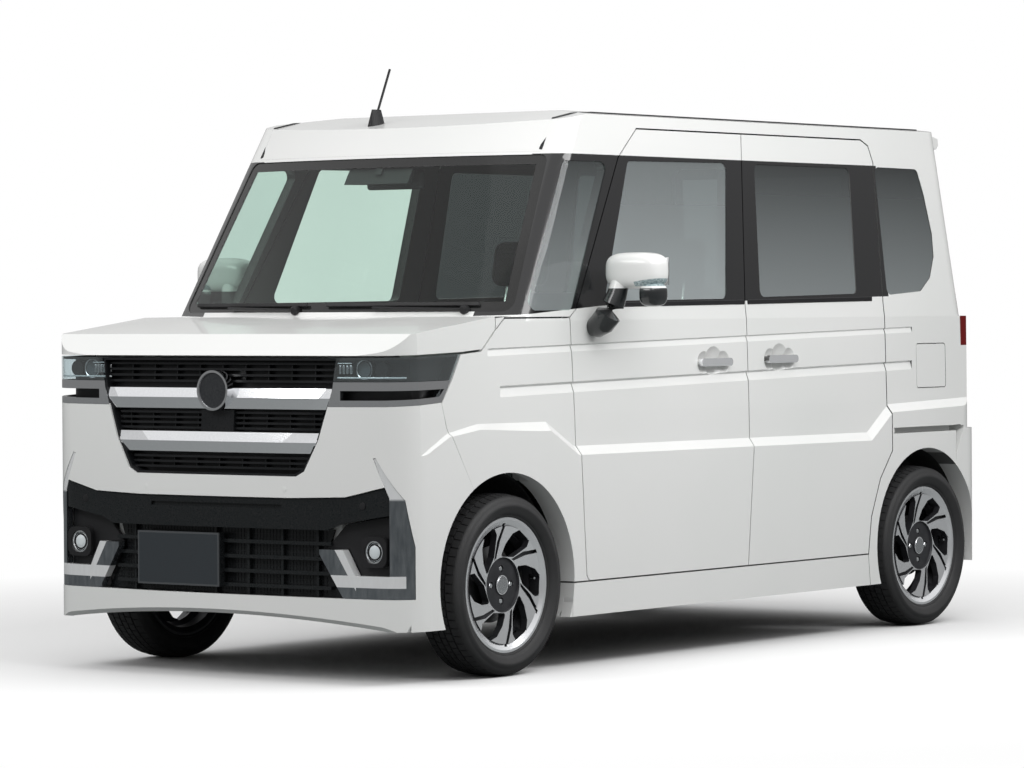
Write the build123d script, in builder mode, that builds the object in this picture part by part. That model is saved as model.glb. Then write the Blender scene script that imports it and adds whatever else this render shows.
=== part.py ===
from build123d import *
from math import cos, radians, sin

import os

os.makedirs("parts", exist_ok=True)

# Kei car, millimetres. The car faces -Y, its left side is +X, the ground is Z = 0 and the
# origin lies on the ground under the middle of the car.

# Overall sizes
LENGTH = 3395.0
WIDTH = 1475.0
HEIGHT = 1785.0
WHEELBASE = 2460.0
FRONT_OVERHANG = 549.0
TRACK = 1295.0
GROUND_CLEARANCE = 165.0

NOSE_Y = -LENGTH / 2
TAIL_Y = LENGTH / 2
SIDE_X = WIDTH / 2
FRONT_AXLE_Y = NOSE_Y + FRONT_OVERHANG
REAR_AXLE_Y = FRONT_AXLE_Y + WHEELBASE

# Wheels and tyres
TYRE_RADIUS = 281.0
TYRE_WIDTH = 165.0
TREAD_WIDTH = 138.0
BEAD_RADIUS = 190.0
FLANGE_RADIUS = 208.0
RIM_WIDTH = 126.0
WHEEL_X = TRACK / 2
ARCH_RADIUS = 335.0
ARCH_SHIFT = -15.0
ARCH_RISE = 11.0
LINER_WALL = 6.0

# Body side, as half widths at named heights
UPPER_SIDE_X = SIDE_X - 21.5
BELT_X = SIDE_X - 27.0
BELT_Z = 1090.0
RAIL_X = 643.0
RAIL_Z = 1700.0
ROOF_EDGE_RADIUS = 80.0
ROOF_CROWN = 33.0
ROOF_SHOULDER_Z = HEIGHT - 40.0

# Walls
SKIN = 14.0
DOOR_DEPTH = 50.0
FRAME_DEPTH = 36.0
ROOF_DEPTH = 26.0
GLASS = 5.0
GLASS_RECESS = 3.0
GLASS_SEAL = 0.3
GAP = 5.0
SEAT_GAP = 0.3
REACH = 2500.0

# Windscreen, from its foot on the centre line to the front edge of the roof
SCREEN_FOOT_Y = -1191.0
SCREEN_LEAN = 0.647
SCREEN_FOOT_SIDE_Y = -1052.0
SCREEN_SIDE_LEAN = 0.5625
FIREWALL_Y = -1000.0
FIREWALL = 20.0


def outline(points, radius=0.0):
    """Close a list of points into a line, with its corners rounded where a radius is given."""
    if radius:
        FilletPolyline(*points, radius=radius, close=True)
    else:
        Polyline(*points, close=True)


def side_prism(points, low, high, radius=0.0):
    """Extrude an outline seen from the side, as (y, z) points, from x = low to x = high."""
    with BuildPart() as prism:
        with BuildSketch(Plane.YZ.offset(low)):
            with BuildLine():
                outline(points, radius)
            make_face()
        extrude(amount=high - low)
    return prism.part


def front_prism(points, low, high, radius=0.0):
    """Extrude an outline seen from the front, as (x, z) points, from y = low to y = high."""
    with BuildPart() as prism:
        with BuildSketch(Plane.XZ.offset(-high)):
            with BuildLine():
                outline(points, radius)
            make_face()
        extrude(amount=high - low)
    return prism.part


def plan_prism(points, low, high, radius=0.0):
    """Extrude an outline seen from above, as (x, y) points, from z = low to z = high."""
    with BuildPart() as prism:
        with BuildSketch(Plane.XY.offset(low)):
            with BuildLine():
                outline(points, radius)
            make_face()
        extrude(amount=high - low)
    return prism.part


def block(x, y, z):
    """A plain block between three pairs of limits."""
    x, y, z = sorted(x), sorted(y), sorted(z)
    with BuildPart() as part:
        with Locations(((x[0] + x[1]) / 2, (y[0] + y[1]) / 2, (z[0] + z[1]) / 2)):
            Box(x[1] - x[0], y[1] - y[0], z[1] - z[0])
    return part.part


def both_sides(points):
    """Continue a half outline, given on the side of positive x, to the other side."""
    return points + [(-x, z) for x, z in reversed(points)]


def grown(points, amount):
    """Move an outline's points out from its middle by an amount, straight across each axis."""
    middle = [sum(values) / len(points) for values in zip(*points)]
    return [
        tuple(value + (amount if value > centre else -amount) for value, centre in zip(point, middle))
        for point in points
    ]


# Plan of the lower body: bowed nose and tail, rounded corners, sides that draw in to the nose.
NOSE_BOW = 52.0
TAIL_BOW = 22.0
NOSE_TAPER = 18.0
NOSE_TAPER_Y = -1000.0
NOSE_CORNER = 120.0
TAIL_CORNER = 105.0


def plan_slab(inset, tail_y, low, high):
    """The lower body's plan, drawn in by an inset, as a slab that ends at a given tail."""
    nose_x = SIDE_X - NOSE_TAPER - inset
    side_x = SIDE_X - inset
    with BuildPart() as plan:
        with BuildSketch(Plane.XY.offset(low)) as sketch:
            with BuildLine():
                ThreePointArc(
                    (-nose_x, NOSE_Y + NOSE_BOW + inset),
                    (0, NOSE_Y + inset),
                    (nose_x, NOSE_Y + NOSE_BOW + inset),
                )
                Polyline(
                    (nose_x, NOSE_Y + NOSE_BOW + inset),
                    (side_x, NOSE_TAPER_Y),
                    (side_x, tail_y - TAIL_BOW - inset),
                )
                ThreePointArc(
                    (side_x, tail_y - TAIL_BOW - inset),
                    (0, tail_y - inset),
                    (-side_x, tail_y - TAIL_BOW - inset),
                )
                Polyline(
                    (-side_x, tail_y - TAIL_BOW - inset),
                    (-side_x, NOSE_TAPER_Y),
                    (-nose_x, NOSE_Y + NOSE_BOW + inset),
                )
            make_face()
            fillet(sketch.vertices().filter_by_position(Axis.Y, -REACH, NOSE_Y + 100), NOSE_CORNER - inset)
            fillet(sketch.vertices().filter_by_position(Axis.Y, TAIL_Y - 100, REACH), TAIL_CORNER - inset)
        extrude(amount=high - low)
    return plan.part


def lower_plan(inset, top):
    """The lower body's plan from the ground to a height, with the bumper standing out behind."""
    with BuildPart() as plan:
        add(plan_slab(inset, TAIL_Y, 0, BUMPER_TOP_Z + BUMPER_SHELF))
        add(plan_slab(inset, TAILGATE_LOW_Y + 6, BUMPER_TOP_Z + BUMPER_SHELF, top))
    return plan.part


# Side profile of the lower body, nose to tail: bumper, grille face, bonnet, cowl, tailgate foot.
BONNET_EDGE_Z = 985.0
COWL_Z = 1105.0
BUMPER_TOP_Z = 600.0
BUMPER_SHELF = 90.0
TAILGATE_LOW_Y = TAIL_Y - 38.0
TAILGATE_BELT_Y = TAIL_Y - 49.0


def lower_profile(inset, floor):
    """The lower body's side profile, drawn in by an inset, with its underside at a height."""
    points = [
        (NOSE_Y + 57 + inset, floor),
        (NOSE_Y + inset, floor + 50),
        (NOSE_Y + inset, 620),
        (NOSE_Y + 24 + inset, BONNET_EDGE_Z),
        (NOSE_Y + 92 + inset, 1056 - inset),
        (SCREEN_FOOT_Y - 10, COWL_Z - inset),
        (FIREWALL_Y - 40, COWL_Z - inset),
        (TAILGATE_BELT_Y - inset, COWL_Z - inset),
        (TAILGATE_BELT_Y - inset, BELT_Z),
        (TAILGATE_LOW_Y - inset, 690),
        (TAIL_Y - inset, BUMPER_TOP_Z),
        (TAIL_Y - inset, floor + 90),
        (TAIL_Y - 40 - inset, floor + 55),
        (TAIL_Y - 120, floor + 40),
        (TAIL_Y - 180, floor),
    ]
    return side_prism(points, -REACH / 2, REACH / 2)


def side_section(inset, floor):
    """Front view of the lower body's sides, narrower at the nose."""
    points = [
        (UPPER_SIDE_X - 25 - inset, floor),
        (UPPER_SIDE_X - inset, floor + 60),
        (UPPER_SIDE_X - inset, 800),
        (BELT_X - inset, BELT_Z),
    ]
    body = front_prism(both_sides(points), NOSE_Y - 5, TAIL_Y + 5)
    nose = [
        (UPPER_SIDE_X - inset - (UPPER_SIDE_X - BELT_X) * 200 / 290, 1000),
        (BELT_X - inset - 0.3, COWL_Z + 25),
    ]
    with BuildPart() as section:
        add(body)
        with BuildSketch(Plane.XZ.offset(-FIREWALL_Y + 40)):
            with BuildLine():
                outline(both_sides(nose))
            make_face()
        extrude(amount=-NOSE_Y + FIREWALL_Y)
    return section.part


def lower_body(inset, floor, flares):
    """The lower body inside its three views, with the side flares where they are asked for."""
    with BuildPart() as body:
        add(side_section(inset, floor))
        if flares:
            for side in (1, -1):
                foot = [(TAIL_Y + 5, floor), (NOSE_Y - 5, floor)]
                with BuildSketch(Plane.YZ.offset(side * (UPPER_SIDE_X - 16))):
                    with BuildLine():
                        outline(FLARE_TOP + foot)
                    make_face()
                with BuildSketch(Plane.YZ.offset(side * (SIDE_X + 1))):
                    with BuildLine():
                        outline([(y, z - FLARE_LEDGE) for y, z in FLARE_TOP] + foot)
                    make_face()
                loft(ruled=True)
        add(lower_plan(inset, COWL_Z + 30), mode=Mode.INTERSECT)
        add(lower_profile(inset, floor), mode=Mode.INTERSECT)
    return body.part


# Top of the flare along the side, as (y, z): it climbs over both wheels.
FLARE_LEDGE = 50.0
FLARE_TOP = [
    (NOSE_Y - 5, 650),
    (-1450, 775),
    (-1300, 800),
    (-948, 798),
    (-800, 718),
    (932, 712),
    (1071, 806),
    (TAIL_Y + 5, 822),
]

# Greenhouse sections as (height, half width, screen centre y, screen side y, tail y).
GREENHOUSE_LOW_Z = BELT_Z
GREENHOUSE_HIGH_Z = HEIGHT + 25
PILLAR_RADIUS = 60.0
TAIL_PILLAR_RADIUS = 95.0
TAILGATE_LEAN = 0.098


def greenhouse(inset, depth):
    """The glazed upper body between two plan sections, its sides drawn in by an inset and its
    screen and tail by a depth."""
    with BuildPart() as house:
        for height in (GREENHOUSE_LOW_Z, GREENHOUSE_HIGH_Z):
            rise = height - BELT_Z
            half = BELT_X - (BELT_X - RAIL_X) * rise / (RAIL_Z - BELT_Z) - inset
            screen_y = SCREEN_FOOT_Y + SCREEN_LEAN * rise + depth
            screen_side_y = SCREEN_FOOT_SIDE_Y + SCREEN_SIDE_LEAN * rise + depth
            tail_y = TAILGATE_BELT_Y - TAILGATE_LEAN * rise - depth
            with BuildSketch(Plane.XY.offset(height)) as section:
                with BuildLine():
                    ThreePointArc((-half, screen_side_y), (0, screen_y), (half, screen_side_y))
                    Line((half, screen_side_y), (half, tail_y - TAIL_BOW))
                    ThreePointArc((half, tail_y - TAIL_BOW), (0, tail_y), (-half, tail_y - TAIL_BOW))
                    Line((-half, tail_y - TAIL_BOW), (-half, screen_side_y))
                make_face()
                corners = section.vertices().filter_by_position(Axis.Y, -REACH, 0)
                fillet(corners, PILLAR_RADIUS - inset)
                corners = section.vertices().filter_by_position(Axis.Y, 0, REACH)
                fillet(corners, TAIL_PILLAR_RADIUS - inset)
        loft(ruled=True)
    return house.part


def roof_limit(inset):
    """What the roof leaves of the greenhouse: crowned across the car and arched along it."""
    shoulder_x = BELT_X - (BELT_X - RAIL_X) * (ROOF_SHOULDER_Z - BELT_Z) / (RAIL_Z - BELT_Z)
    low_x = BELT_X + 40
    with BuildPart() as limit:
        with BuildSketch(Plane.XZ.offset(-TAIL_Y - 5)) as section:
            with BuildLine():
                Polyline(
                    (-shoulder_x - inset, ROOF_SHOULDER_Z - inset),
                    (-low_x, 1000),
                    (low_x, 1000),
                    (shoulder_x - inset, ROOF_SHOULDER_Z - inset),
                )
                ThreePointArc(
                    (shoulder_x - inset, ROOF_SHOULDER_Z - inset),
                    (0, HEIGHT - inset),
                    (-shoulder_x - inset, ROOF_SHOULDER_Z - inset),
                )
            make_face()
            fillet(section.vertices().filter_by_position(Axis.Z, 1600, REACH), ROOF_EDGE_RADIUS)
        extrude(amount=LENGTH + 10)
        profile = [
            (SCREEN_FOOT_Y - 200, 1000),
            (SCREEN_FOOT_Y - 200, 1712 - inset),
            (-790 + inset, 1712 - inset),
            (-500, 1766 - inset),
            (0, HEIGHT - inset),
            (1150, HEIGHT - 3 - inset),
            (TAIL_Y, 1752 - inset),
            (TAIL_Y, 1000),
        ]
        add(side_prism(profile, -REACH / 2, REACH / 2), mode=Mode.INTERSECT)
    return limit.part


def greenhouse_limited(inset, depth, roof):
    """The upper body, drawn in at its sides, its screen and tail, and its roof."""
    with BuildPart() as upper:
        add(greenhouse(inset, depth))
        add(roof_limit(roof), mode=Mode.INTERSECT)
    return upper.part


def v_groove(points, rise, fall, depth):
    """A groove along a line of (y, z) points in both body sides, steep above and soft below."""
    with BuildPart() as groove:
        for side in (1, -1):
            with BuildSketch(Plane.YZ.offset(side * (UPPER_SIDE_X + 6))):
                with BuildLine():
                    outline(
                        [(y, z + rise) for y, z in points]
                        + [(y, z - fall) for y, z in reversed(points)]
                    )
                make_face()
            with BuildSketch(Plane.YZ.offset(side * (UPPER_SIDE_X - depth))):
                with BuildLine():
                    outline([(y, z + 1) for y, z in points] + [(y, z - 1) for y, z in reversed(points)])
                make_face()
            loft(ruled=True)
    return groove.part


# Creases of the body side as ((y, z) points, rise above, fall below, depth).
CREASES = [
    ([(-1240, 1003), (1240, 1050)], 12, 50, 9),
    ([(-1180, 886), (1235, 930)], 12, 50, 10),
]

with BuildPart() as outer_body:
    add(lower_body(0, GROUND_CLEARANCE, True))
    add(greenhouse_limited(0, 0, 0))
    for points, rise, fall, depth in CREASES:
        add(v_groove(points, rise, fall, depth), mode=Mode.SUBTRACT)

# The hollow: engine bay, cabin below the belt and cabin above it
CABIN_X = UPPER_SIDE_X - DOOR_DEPTH
CABIN_TAIL_Y = TAILGATE_BELT_Y - DOOR_DEPTH
FLOOR_TOP_Z = 300.0
FLOOR_SHEET = 30.0
REAR_FLOOR_Z = 470.0

with BuildPart() as engine_bay:
    add(lower_body(SKIN, 50, False))
    add(block((-REACH, REACH), (-REACH, FIREWALL_Y - FIREWALL), (0, REACH)), mode=Mode.INTERSECT)

with BuildPart() as hollow:
    add(engine_bay.part)
    add(block((-CABIN_X, CABIN_X), (FIREWALL_Y, CABIN_TAIL_Y), (50, BELT_Z)))
    add(greenhouse_limited(FRAME_DEPTH, FRAME_DEPTH, ROOF_DEPTH))


def arch_cutter(radius, inner_x, outer_x):
    """Cylinders that clear all four wheels, between two distances from the middle of the car."""
    with BuildPart() as cutter:
        for axle_y in (FRONT_AXLE_Y, REAR_AXLE_Y):
            for side in (1, -1):
                plane = Plane.YZ.offset(inner_x if side > 0 else -outer_x)
                with BuildSketch(plane):
                    with Locations((axle_y + ARCH_SHIFT, TYRE_RADIUS + ARCH_RISE)):
                        Circle(radius)
                extrude(amount=outer_x - inner_x)
    return cutter.part


HOUSE_INNER_X = {"front": 404.0, "rear": 535.0}
LINER_RADIUS = ARCH_RADIUS + 3
LINER_OUTER_X = 636.0

with BuildPart() as shell:
    add(outer_body.part)
    add(hollow.part, mode=Mode.SUBTRACT)
    add(arch_cutter(ARCH_RADIUS, 400, SIDE_X + 50), mode=Mode.SUBTRACT)
    add(arch_cutter(LINER_RADIUS + LINER_WALL + SEAT_GAP, 400, CABIN_X), mode=Mode.SUBTRACT)

# Panel outlines seen from the side, as (y, z)
DOOR_LOW_Z = 272.0
DOOR_TOP_Z = 1705.0
FRONT_DOOR = [
    (-808, 1100),
    (-789, 705),
    (-762, 290),
    (-748, DOOR_LOW_Z),
    (155, DOOR_LOW_Z),
    (197, 704),
    (190, 1132),
    (265, DOOR_TOP_Z),
    (-343, DOOR_TOP_Z),
    (-460, 1610),
    (-770, 1125),
]
SLIDING_DOOR = [
    (155, DOOR_LOW_Z),
    (905, DOOR_LOW_Z),
    (925, 400),
    (985, 530),
    (1066, 625),
    (1059, 1138),
    (1083, 1627),
    (1060, 1685),
    (1015, DOOR_TOP_Z),
    (265, DOOR_TOP_Z),
    (190, 1132),
    (197, 704),
]
SKIRT = [(-845, 100), (-835, DOOR_LOW_Z), (905, DOOR_LOW_Z), (925, 100)]
FENDER = [
    (-1476, 845),
    (-1454, 772),
    (-1345, 595),
    (-1163, 292),
    (-900, DOOR_LOW_Z),
    (-748, DOOR_LOW_Z),
    (-762, 290),
    (-789, 705),
    (-808, 1100),
    (-1150, 1100),
    (-1200, 1062),
    (-1270, 1001),
    (-1376, 994),
    (-1421, 918),
]
BONNET = [
    (-1760, BONNET_EDGE_Z + 3),
    (-1376, 999),
    (-1270, 1006),
    (-1200, 1067),
    (-1200, 1160),
    (-1760, 1160),
]
HEADLAMP = [(-1760, 911), (-1427, 915), (-1378, 994), (-1760, BONNET_EDGE_Z - 2)]
LAMP_TRIM = [(-1760, 832), (-1474, 848), (-1427, 915), (-1760, 911)]
BUMPER = [
    (-1760, 50),
    (-1760, BONNET_EDGE_Z - 2),
    (-1440, BONNET_EDGE_Z - 2),
    (-1476, 850),
    (-1454, 772),
    (-1345, 599),
    (-1163, 292),
    (-1400, 50),
]
REAR_BUMPER = [
    (1500, 50),
    (1450, 292),
    (1500, 600),
    (1548, 690),
    (1548, 800),
    (1760, 800),
    (1760, 50),
]
REAR_LAMP = [(1572, 985), (1566, 1430), (1760, 1430), (1760, 985)]
FUEL_FLAP = [(1266, 838), (1464, 838), (1464, 994), (1266, 994)]

# Panel outlines seen from the front, as (x, z)
TAILGATE_FOOT = 12.0
STRIKER_X = 40.0
TAILGATE = both_sides([(604, BUMPER_TOP_Z + TAILGATE_FOOT), (604, 1440), (578, 1700), (578, 1900)])
TAILGATE_TOP_Y = 1549.0
ROOF = both_sides([(572, 1624), (572, 1900)])
ROOF_FRONT_Y = -900.0

# Windows seen from the side, as (y, z)
QUARTER_WINDOW = [(-1026, 1122), (-752, 1594), (-520, 1594), (-795, 1122)]
DOOR_WINDOW = [(-409, 1600), (160, 1606), (81, 1155), (-612, 1150)]
SLIDING_WINDOW = [(327, 1605), (924, 1605), (892, 1170), (286, 1160)]
TAIL_WINDOW = [
    (1090, 1612),
    (1372, 1610),
    (1404, 1520),
    (1434, 1380),
    (1430, 1300),
    (1390, 1225),
    (1318, 1178),
    (1092, 1165),
]
WINDOW_RADIUS = 24.0

# Windows seen from the front and the back, as (x, z)
SCREEN = both_sides([(668, 1120), (603, 1614)])
TAILGATE_WINDOW = both_sides([(545, 1165), (520, 1640)])

INNER_X = 380.0
OUTER_X = 800.0


def shell_piece(cutters, cuts=()):
    """The part of the shell inside all the given solids, less the cuts."""
    with BuildPart() as piece:
        add(shell.part)
        for cutter in cutters:
            add(cutter, mode=Mode.INTERSECT)
        for cut in cuts:
            add(cut, mode=Mode.SUBTRACT)
    return piece.part


def keep(name, part):
    """Label a finished piece and write it."""
    part.label = name
    export_step(part, f"parts/{name}.step")


def side_panel(points, amount=GAP / 2, inner=INNER_X, radius=0.0):
    """A side outline as a solid on the left, taken in by half a gap."""
    with BuildPart() as prism:
        with BuildSketch(Plane.YZ.offset(inner)):
            with BuildLine():
                outline(points, radius)
            make_face()
            if amount:
                offset(amount=-amount, kind=Kind.INTERSECTION, mode=Mode.REPLACE)
        extrude(amount=OUTER_X - inner)
    return prism.part


def pair(part):
    """A solid on the left and its mirror image on the right, as one part."""
    with BuildPart() as both:
        add(part)
        mirror(part, about=Plane.YZ)
    return both.part


# Front doors, sliding doors, fenders, bonnet
HANDLE_Z = {"front": 948.0, "sliding": 953.0}
HANDLE_Y = {"front": -10.0, "sliding": 386.0}
HANDLE_LENGTH = 180.0
HANDLE_HEIGHT = 26.0
HANDLE_X = UPPER_SIDE_X - 2
# Hollows behind a handle as (place along the door, radius of the ball, depth)
CUP_BALLS = [(-56.0, 60.0, 14.0), (0.0, 92.0, 18.0), (56.0, 60.0, 14.0)]


def handle_cup(key):
    """The dished hollow behind a door handle, wide for the grip and deep for the fingers."""
    with BuildPart() as cup:
        for along, radius, depth in CUP_BALLS:
            with Locations((HANDLE_X + radius - depth, HANDLE_Y[key] + along, HANDLE_Z[key])):
                Sphere(radius)
    return cup.part


def handle(key):
    """A grip bar on two feet, which stand in the cup."""
    y, z = HANDLE_Y[key], HANDLE_Z[key]
    half = HANDLE_LENGTH / 2
    with BuildPart() as bar:
        with BuildSketch(Plane.YZ.offset(HANDLE_X + 4)):
            with Locations((y, z)):
                RectangleRounded(HANDLE_LENGTH, HANDLE_HEIGHT, 12)
        extrude(amount=13)
        with BuildSketch(Plane.YZ.offset(HANDLE_X - 40)):
            with Locations((y - half + 16, z), (y + half - 16, z)):
                RectangleRounded(24, 20, 6)
        extrude(amount=45)
    return bar.part


with BuildPart() as door_front_left:
    add(
        shell_piece(
            [side_panel(FRONT_DOOR)],
            [side_panel(DOOR_WINDOW, 0, INNER_X, WINDOW_RADIUS), handle_cup("front")],
        )
    )
    add(handle("front"))

with BuildPart() as sliding_door_left:
    add(
        shell_piece(
            [side_panel(SLIDING_DOOR)],
            [side_panel(SLIDING_WINDOW, 0, INNER_X, WINDOW_RADIUS), handle_cup("sliding")],
        )
    )
    add(handle("sliding"))

for name, part in (("door_front", door_front_left.part), ("sliding_door", sliding_door_left.part)):
    keep(f"{name}_left", part)
    keep(f"{name}_right", mirror(part, about=Plane.YZ, mode=Mode.PRIVATE))

front_fenders = shell_piece([pair(side_panel(FENDER, GAP / 2, 640))])
keep("front_fenders", front_fenders)
bonnet = shell_piece([side_prism(BONNET, -REACH, REACH)])
keep("bonnet", bonnet)

# Tailgate with its spoiler, hinged at the roof's rear edge
SPOILER = [
    (TAILGATE_TOP_Y, 1700),
    (1600, 1696),
    (1662, 1690),
    (1676, 1704),
    (1672, 1728),
    (TAILGATE_TOP_Y, 1752),
]
SPOILER_X = 560.0
PLATE_HOLE_PITCH = 210.0
PLATE_HOLE_Z = 800.0
PLATE_HOLE_RADIUS = 3.5

with BuildPart() as tailgate:
    add(
        shell_piece(
            [front_prism(TAILGATE, TAILGATE_TOP_Y, TAIL_Y + 50)],
            [front_prism(TAILGATE_WINDOW, TAILGATE_TOP_Y, TAIL_Y + 50, 40)],
        )
    )
    add(side_prism(SPOILER, -SPOILER_X, SPOILER_X))
    with BuildSketch(Plane.XZ.offset(-TAIL_Y)):
        with Locations((-PLATE_HOLE_PITCH / 2, PLATE_HOLE_Z), (PLATE_HOLE_PITCH / 2, PLATE_HOLE_Z)):
            Circle(PLATE_HOLE_RADIUS)
    extrude(amount=TAIL_Y - TAILGATE_LOW_Y + 35, mode=Mode.SUBTRACT)
keep("tailgate", tailgate.part)

rear_bumper = shell_piece(
    [side_prism(REAR_BUMPER, -REACH, REACH)],
    [front_prism(grown(TAILGATE, GAP), TAILGATE_TOP_Y - 10, TAIL_Y + 50)],
)
with BuildPart() as rear_bumper_part:
    add(rear_bumper)
    add(
        block(
            (-STRIKER_X, STRIKER_X),
            (CABIN_TAIL_Y + 8, TAILGATE_LOW_Y - 12),
            (BUMPER_TOP_Z - 10, BUMPER_TOP_Z + TAILGATE_FOOT - SEAT_GAP),
        )
    )
keep("rear_bumper", rear_bumper_part.part)
rear_lamps = shell_piece(
    [pair(side_panel(REAR_LAMP, SEAT_GAP, 600))],
    [front_prism(grown(TAILGATE, GAP), TAILGATE_TOP_Y - 10, TAIL_Y + 50)],
)
keep("rear_lamps", rear_lamps)
roof_panel = shell_piece([front_prism(ROOF, ROOF_FRONT_Y, TAILGATE_TOP_Y - GAP)])
keep("roof_panel", roof_panel)
sill_skirts = shell_piece([pair(side_panel(SKIRT, GAP / 2, 700))])
keep("sill_skirts", sill_skirts)

# Fuel flap over its pocket, on the left
FLAP_DEPTH = 14.0
POCKET_X = UPPER_SIDE_X - 42
fuel_flap = shell_piece([side_panel(FUEL_FLAP, 2, UPPER_SIDE_X - FLAP_DEPTH, 12)])
keep("fuel_flap", fuel_flap)

RAIL_SLOT = [(1078, 683), (1528, 683), (1528, 703), (1078, 703)]

# Nose pieces: layers of the curved front, placed by how far they lie behind its face
with BuildPart() as nose:
    add(lower_plan(0, COWL_Z + 30))
    add(lower_profile(0, 50), mode=Mode.INTERSECT)
    add(block((-SIDE_X, SIDE_X), (NOSE_Y, -1380), (50, BONNET_EDGE_Z + 30)), mode=Mode.INTERSECT)


def nose_layer(points, front, back, cuts=(), radius=0.0):
    """The part of the curved nose inside a front outline, between two depths behind its face."""
    with BuildPart() as layer:
        add(front_prism(points, NOSE_Y - 50, -1300, radius))
        add(nose.part.moved(Location((0, front, 0))), mode=Mode.INTERSECT)
        add(nose.part.moved(Location((0, back, 0))), mode=Mode.SUBTRACT)
        for cut in cuts:
            add(cut, mode=Mode.SUBTRACT)
    return layer.part


def tilted_nose(front, height, degrees):
    """The curved nose moved back by a depth and leaned about a line across it at a height."""
    lean = Location((0, NOSE_Y + front, height)) * Location((0, 0, 0), (degrees, 0, 0))
    return nose.part.moved(lean * Location((0, -NOSE_Y, -height)))


def facet(points, front, back, height, degrees):
    """A leaning strip of the nose inside a front outline, as deep as a given layer's back."""
    with BuildPart() as strip:
        add(front_prism(points, NOSE_Y - 50, -1300))
        add(tilted_nose(front, height, degrees), mode=Mode.INTERSECT)
        add(nose.part.moved(Location((0, back, 0))), mode=Mode.SUBTRACT)
    return strip.part


GRILLE = both_sides([(471, BONNET_EDGE_Z - 2), (457, 890), (404, 735), (352, 642), (322, 626)])
INTAKE = both_sides(
    [(300, 561), (500, 567), (636, 598), (598, 684), (608, 686), (690, 559), (708, 420), (708, 262)]
)
LAMP_INNER_X = 440.0

front_bumper = shell_piece(
    [side_prism(BUMPER, -REACH, REACH)],
    [
        front_prism(GRILLE, NOSE_Y - 50, -1380),
        front_prism(INTAKE, NOSE_Y - 50, -1380),
        pair(side_panel(HEADLAMP, 0, LAMP_INNER_X)),
        pair(side_panel(LAMP_TRIM, 0, LAMP_INNER_X)),
    ],
)
keep("front_bumper", front_bumper)

# Headlamps: a thin lens over a dark housing, with a projector; the housing backs the trim's slit too
LENS = 4.0
LAMP_GAP = 0.5
HOUSING_DEPTH = 46.0
HOUSING_WALL = 6.0
PROJECTORS = [(548.0, 31.0), (612.0, 24.0)]
PROJECTOR_Z = 949.0
PROJECTOR_FRONT = 62.0
PROJECTOR_LENGTH = 60.0
TRIM_SLIT = [(-1760, 852), (-1486, 866), (-1460, 889), (-1760, 884)]
LAMP_UNIT = [LAMP_TRIM[0], LAMP_TRIM[1], LAMP_TRIM[2], HEADLAMP[2], HEADLAMP[3]]

grille_cut = front_prism(GRILLE, NOSE_Y - 50, -1380)
lamp_front = lower_body(LENS + SEAT_GAP, GROUND_CLEARANCE, False)
lamp_back = lower_body(HOUSING_DEPTH, GROUND_CLEARANCE, False)
lamp_floor = lower_body(HOUSING_DEPTH - HOUSING_WALL, GROUND_CLEARANCE, False)
lens_back = lower_body(LENS, GROUND_CLEARANCE, False)
headlamps = shell_piece([pair(side_panel(HEADLAMP, LAMP_GAP, LAMP_INNER_X))], [grille_cut, lens_back])
keep("headlamps", headlamps)

with BuildPart() as lamp_trims:
    add(shell_piece([pair(side_panel(LAMP_TRIM, LAMP_GAP, LAMP_INNER_X))], [grille_cut]))
    add(pair(side_panel(TRIM_SLIT, 0, LAMP_INNER_X + 45)), mode=Mode.SUBTRACT)

with BuildPart() as lamp_units:
    add(lamp_front)
    add(lamp_back, mode=Mode.SUBTRACT)
    add(pair(side_panel(LAMP_UNIT, 3, LAMP_INNER_X)), mode=Mode.INTERSECT)
    add(block((-REACH, REACH), (-REACH, -1385), (0, REACH)), mode=Mode.INTERSECT)
    with BuildPart(mode=Mode.PRIVATE) as cavity:
        add(outer_body.part)
        add(lamp_floor, mode=Mode.SUBTRACT)
        add(pair(side_panel(LAMP_UNIT, HOUSING_WALL + 3, LAMP_INNER_X)), mode=Mode.INTERSECT)
    add(cavity.part, mode=Mode.SUBTRACT)
    add(grille_cut, mode=Mode.SUBTRACT)
    add(shell_piece([pair(side_panel(LAMP_TRIM, 0, LAMP_INNER_X))]), mode=Mode.SUBTRACT)
    for side in (1, -1):
        for x, radius in PROJECTORS:
            with BuildSketch(Plane.XZ.offset(-(NOSE_Y + PROJECTOR_FRONT))):
                with Locations((side * x, PROJECTOR_Z)):
                    Circle(radius)
            extrude(amount=-PROJECTOR_LENGTH)
    add(lamp_back, mode=Mode.SUBTRACT)
    add(outer_body.part, mode=Mode.INTERSECT)
keep("lamp_units", lamp_units.part)

# Radiator grille: a dark backing with slats and uprights, and the bright bars in front of it
BAR_DEPTH = {"bar": (3.0, 30.0), "slat": (22.0, 44.0), "upright": (28.0, 44.0), "back": (44.0, 52.0)}
BAR_LEAN = 15.0
SLAT_HEIGHT = 7.0
FRAME_FRONT = 6.0
GRILLE_FRAME = 7.0
UPPER_BAR_RIDGE = 862.0
LOWER_BAR_RIDGE = 728.0
SLAT_BANDS = [(912, 966, 4, 458), (768, 816, 4, 410), (648, 680, 3, 352)]
UPRIGHT_WIDTH = 4.0
UPRIGHT_PITCH = 92.0
UPRIGHTS = 9
EMBLEM_RADIUS = 62.0
EMBLEM_RING = 7.0
EMBLEM_Z = 884.0
CAMERA_BLOCK = [(-65, 760), (-65, 824), (65, 824), (65, 760)]

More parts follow.
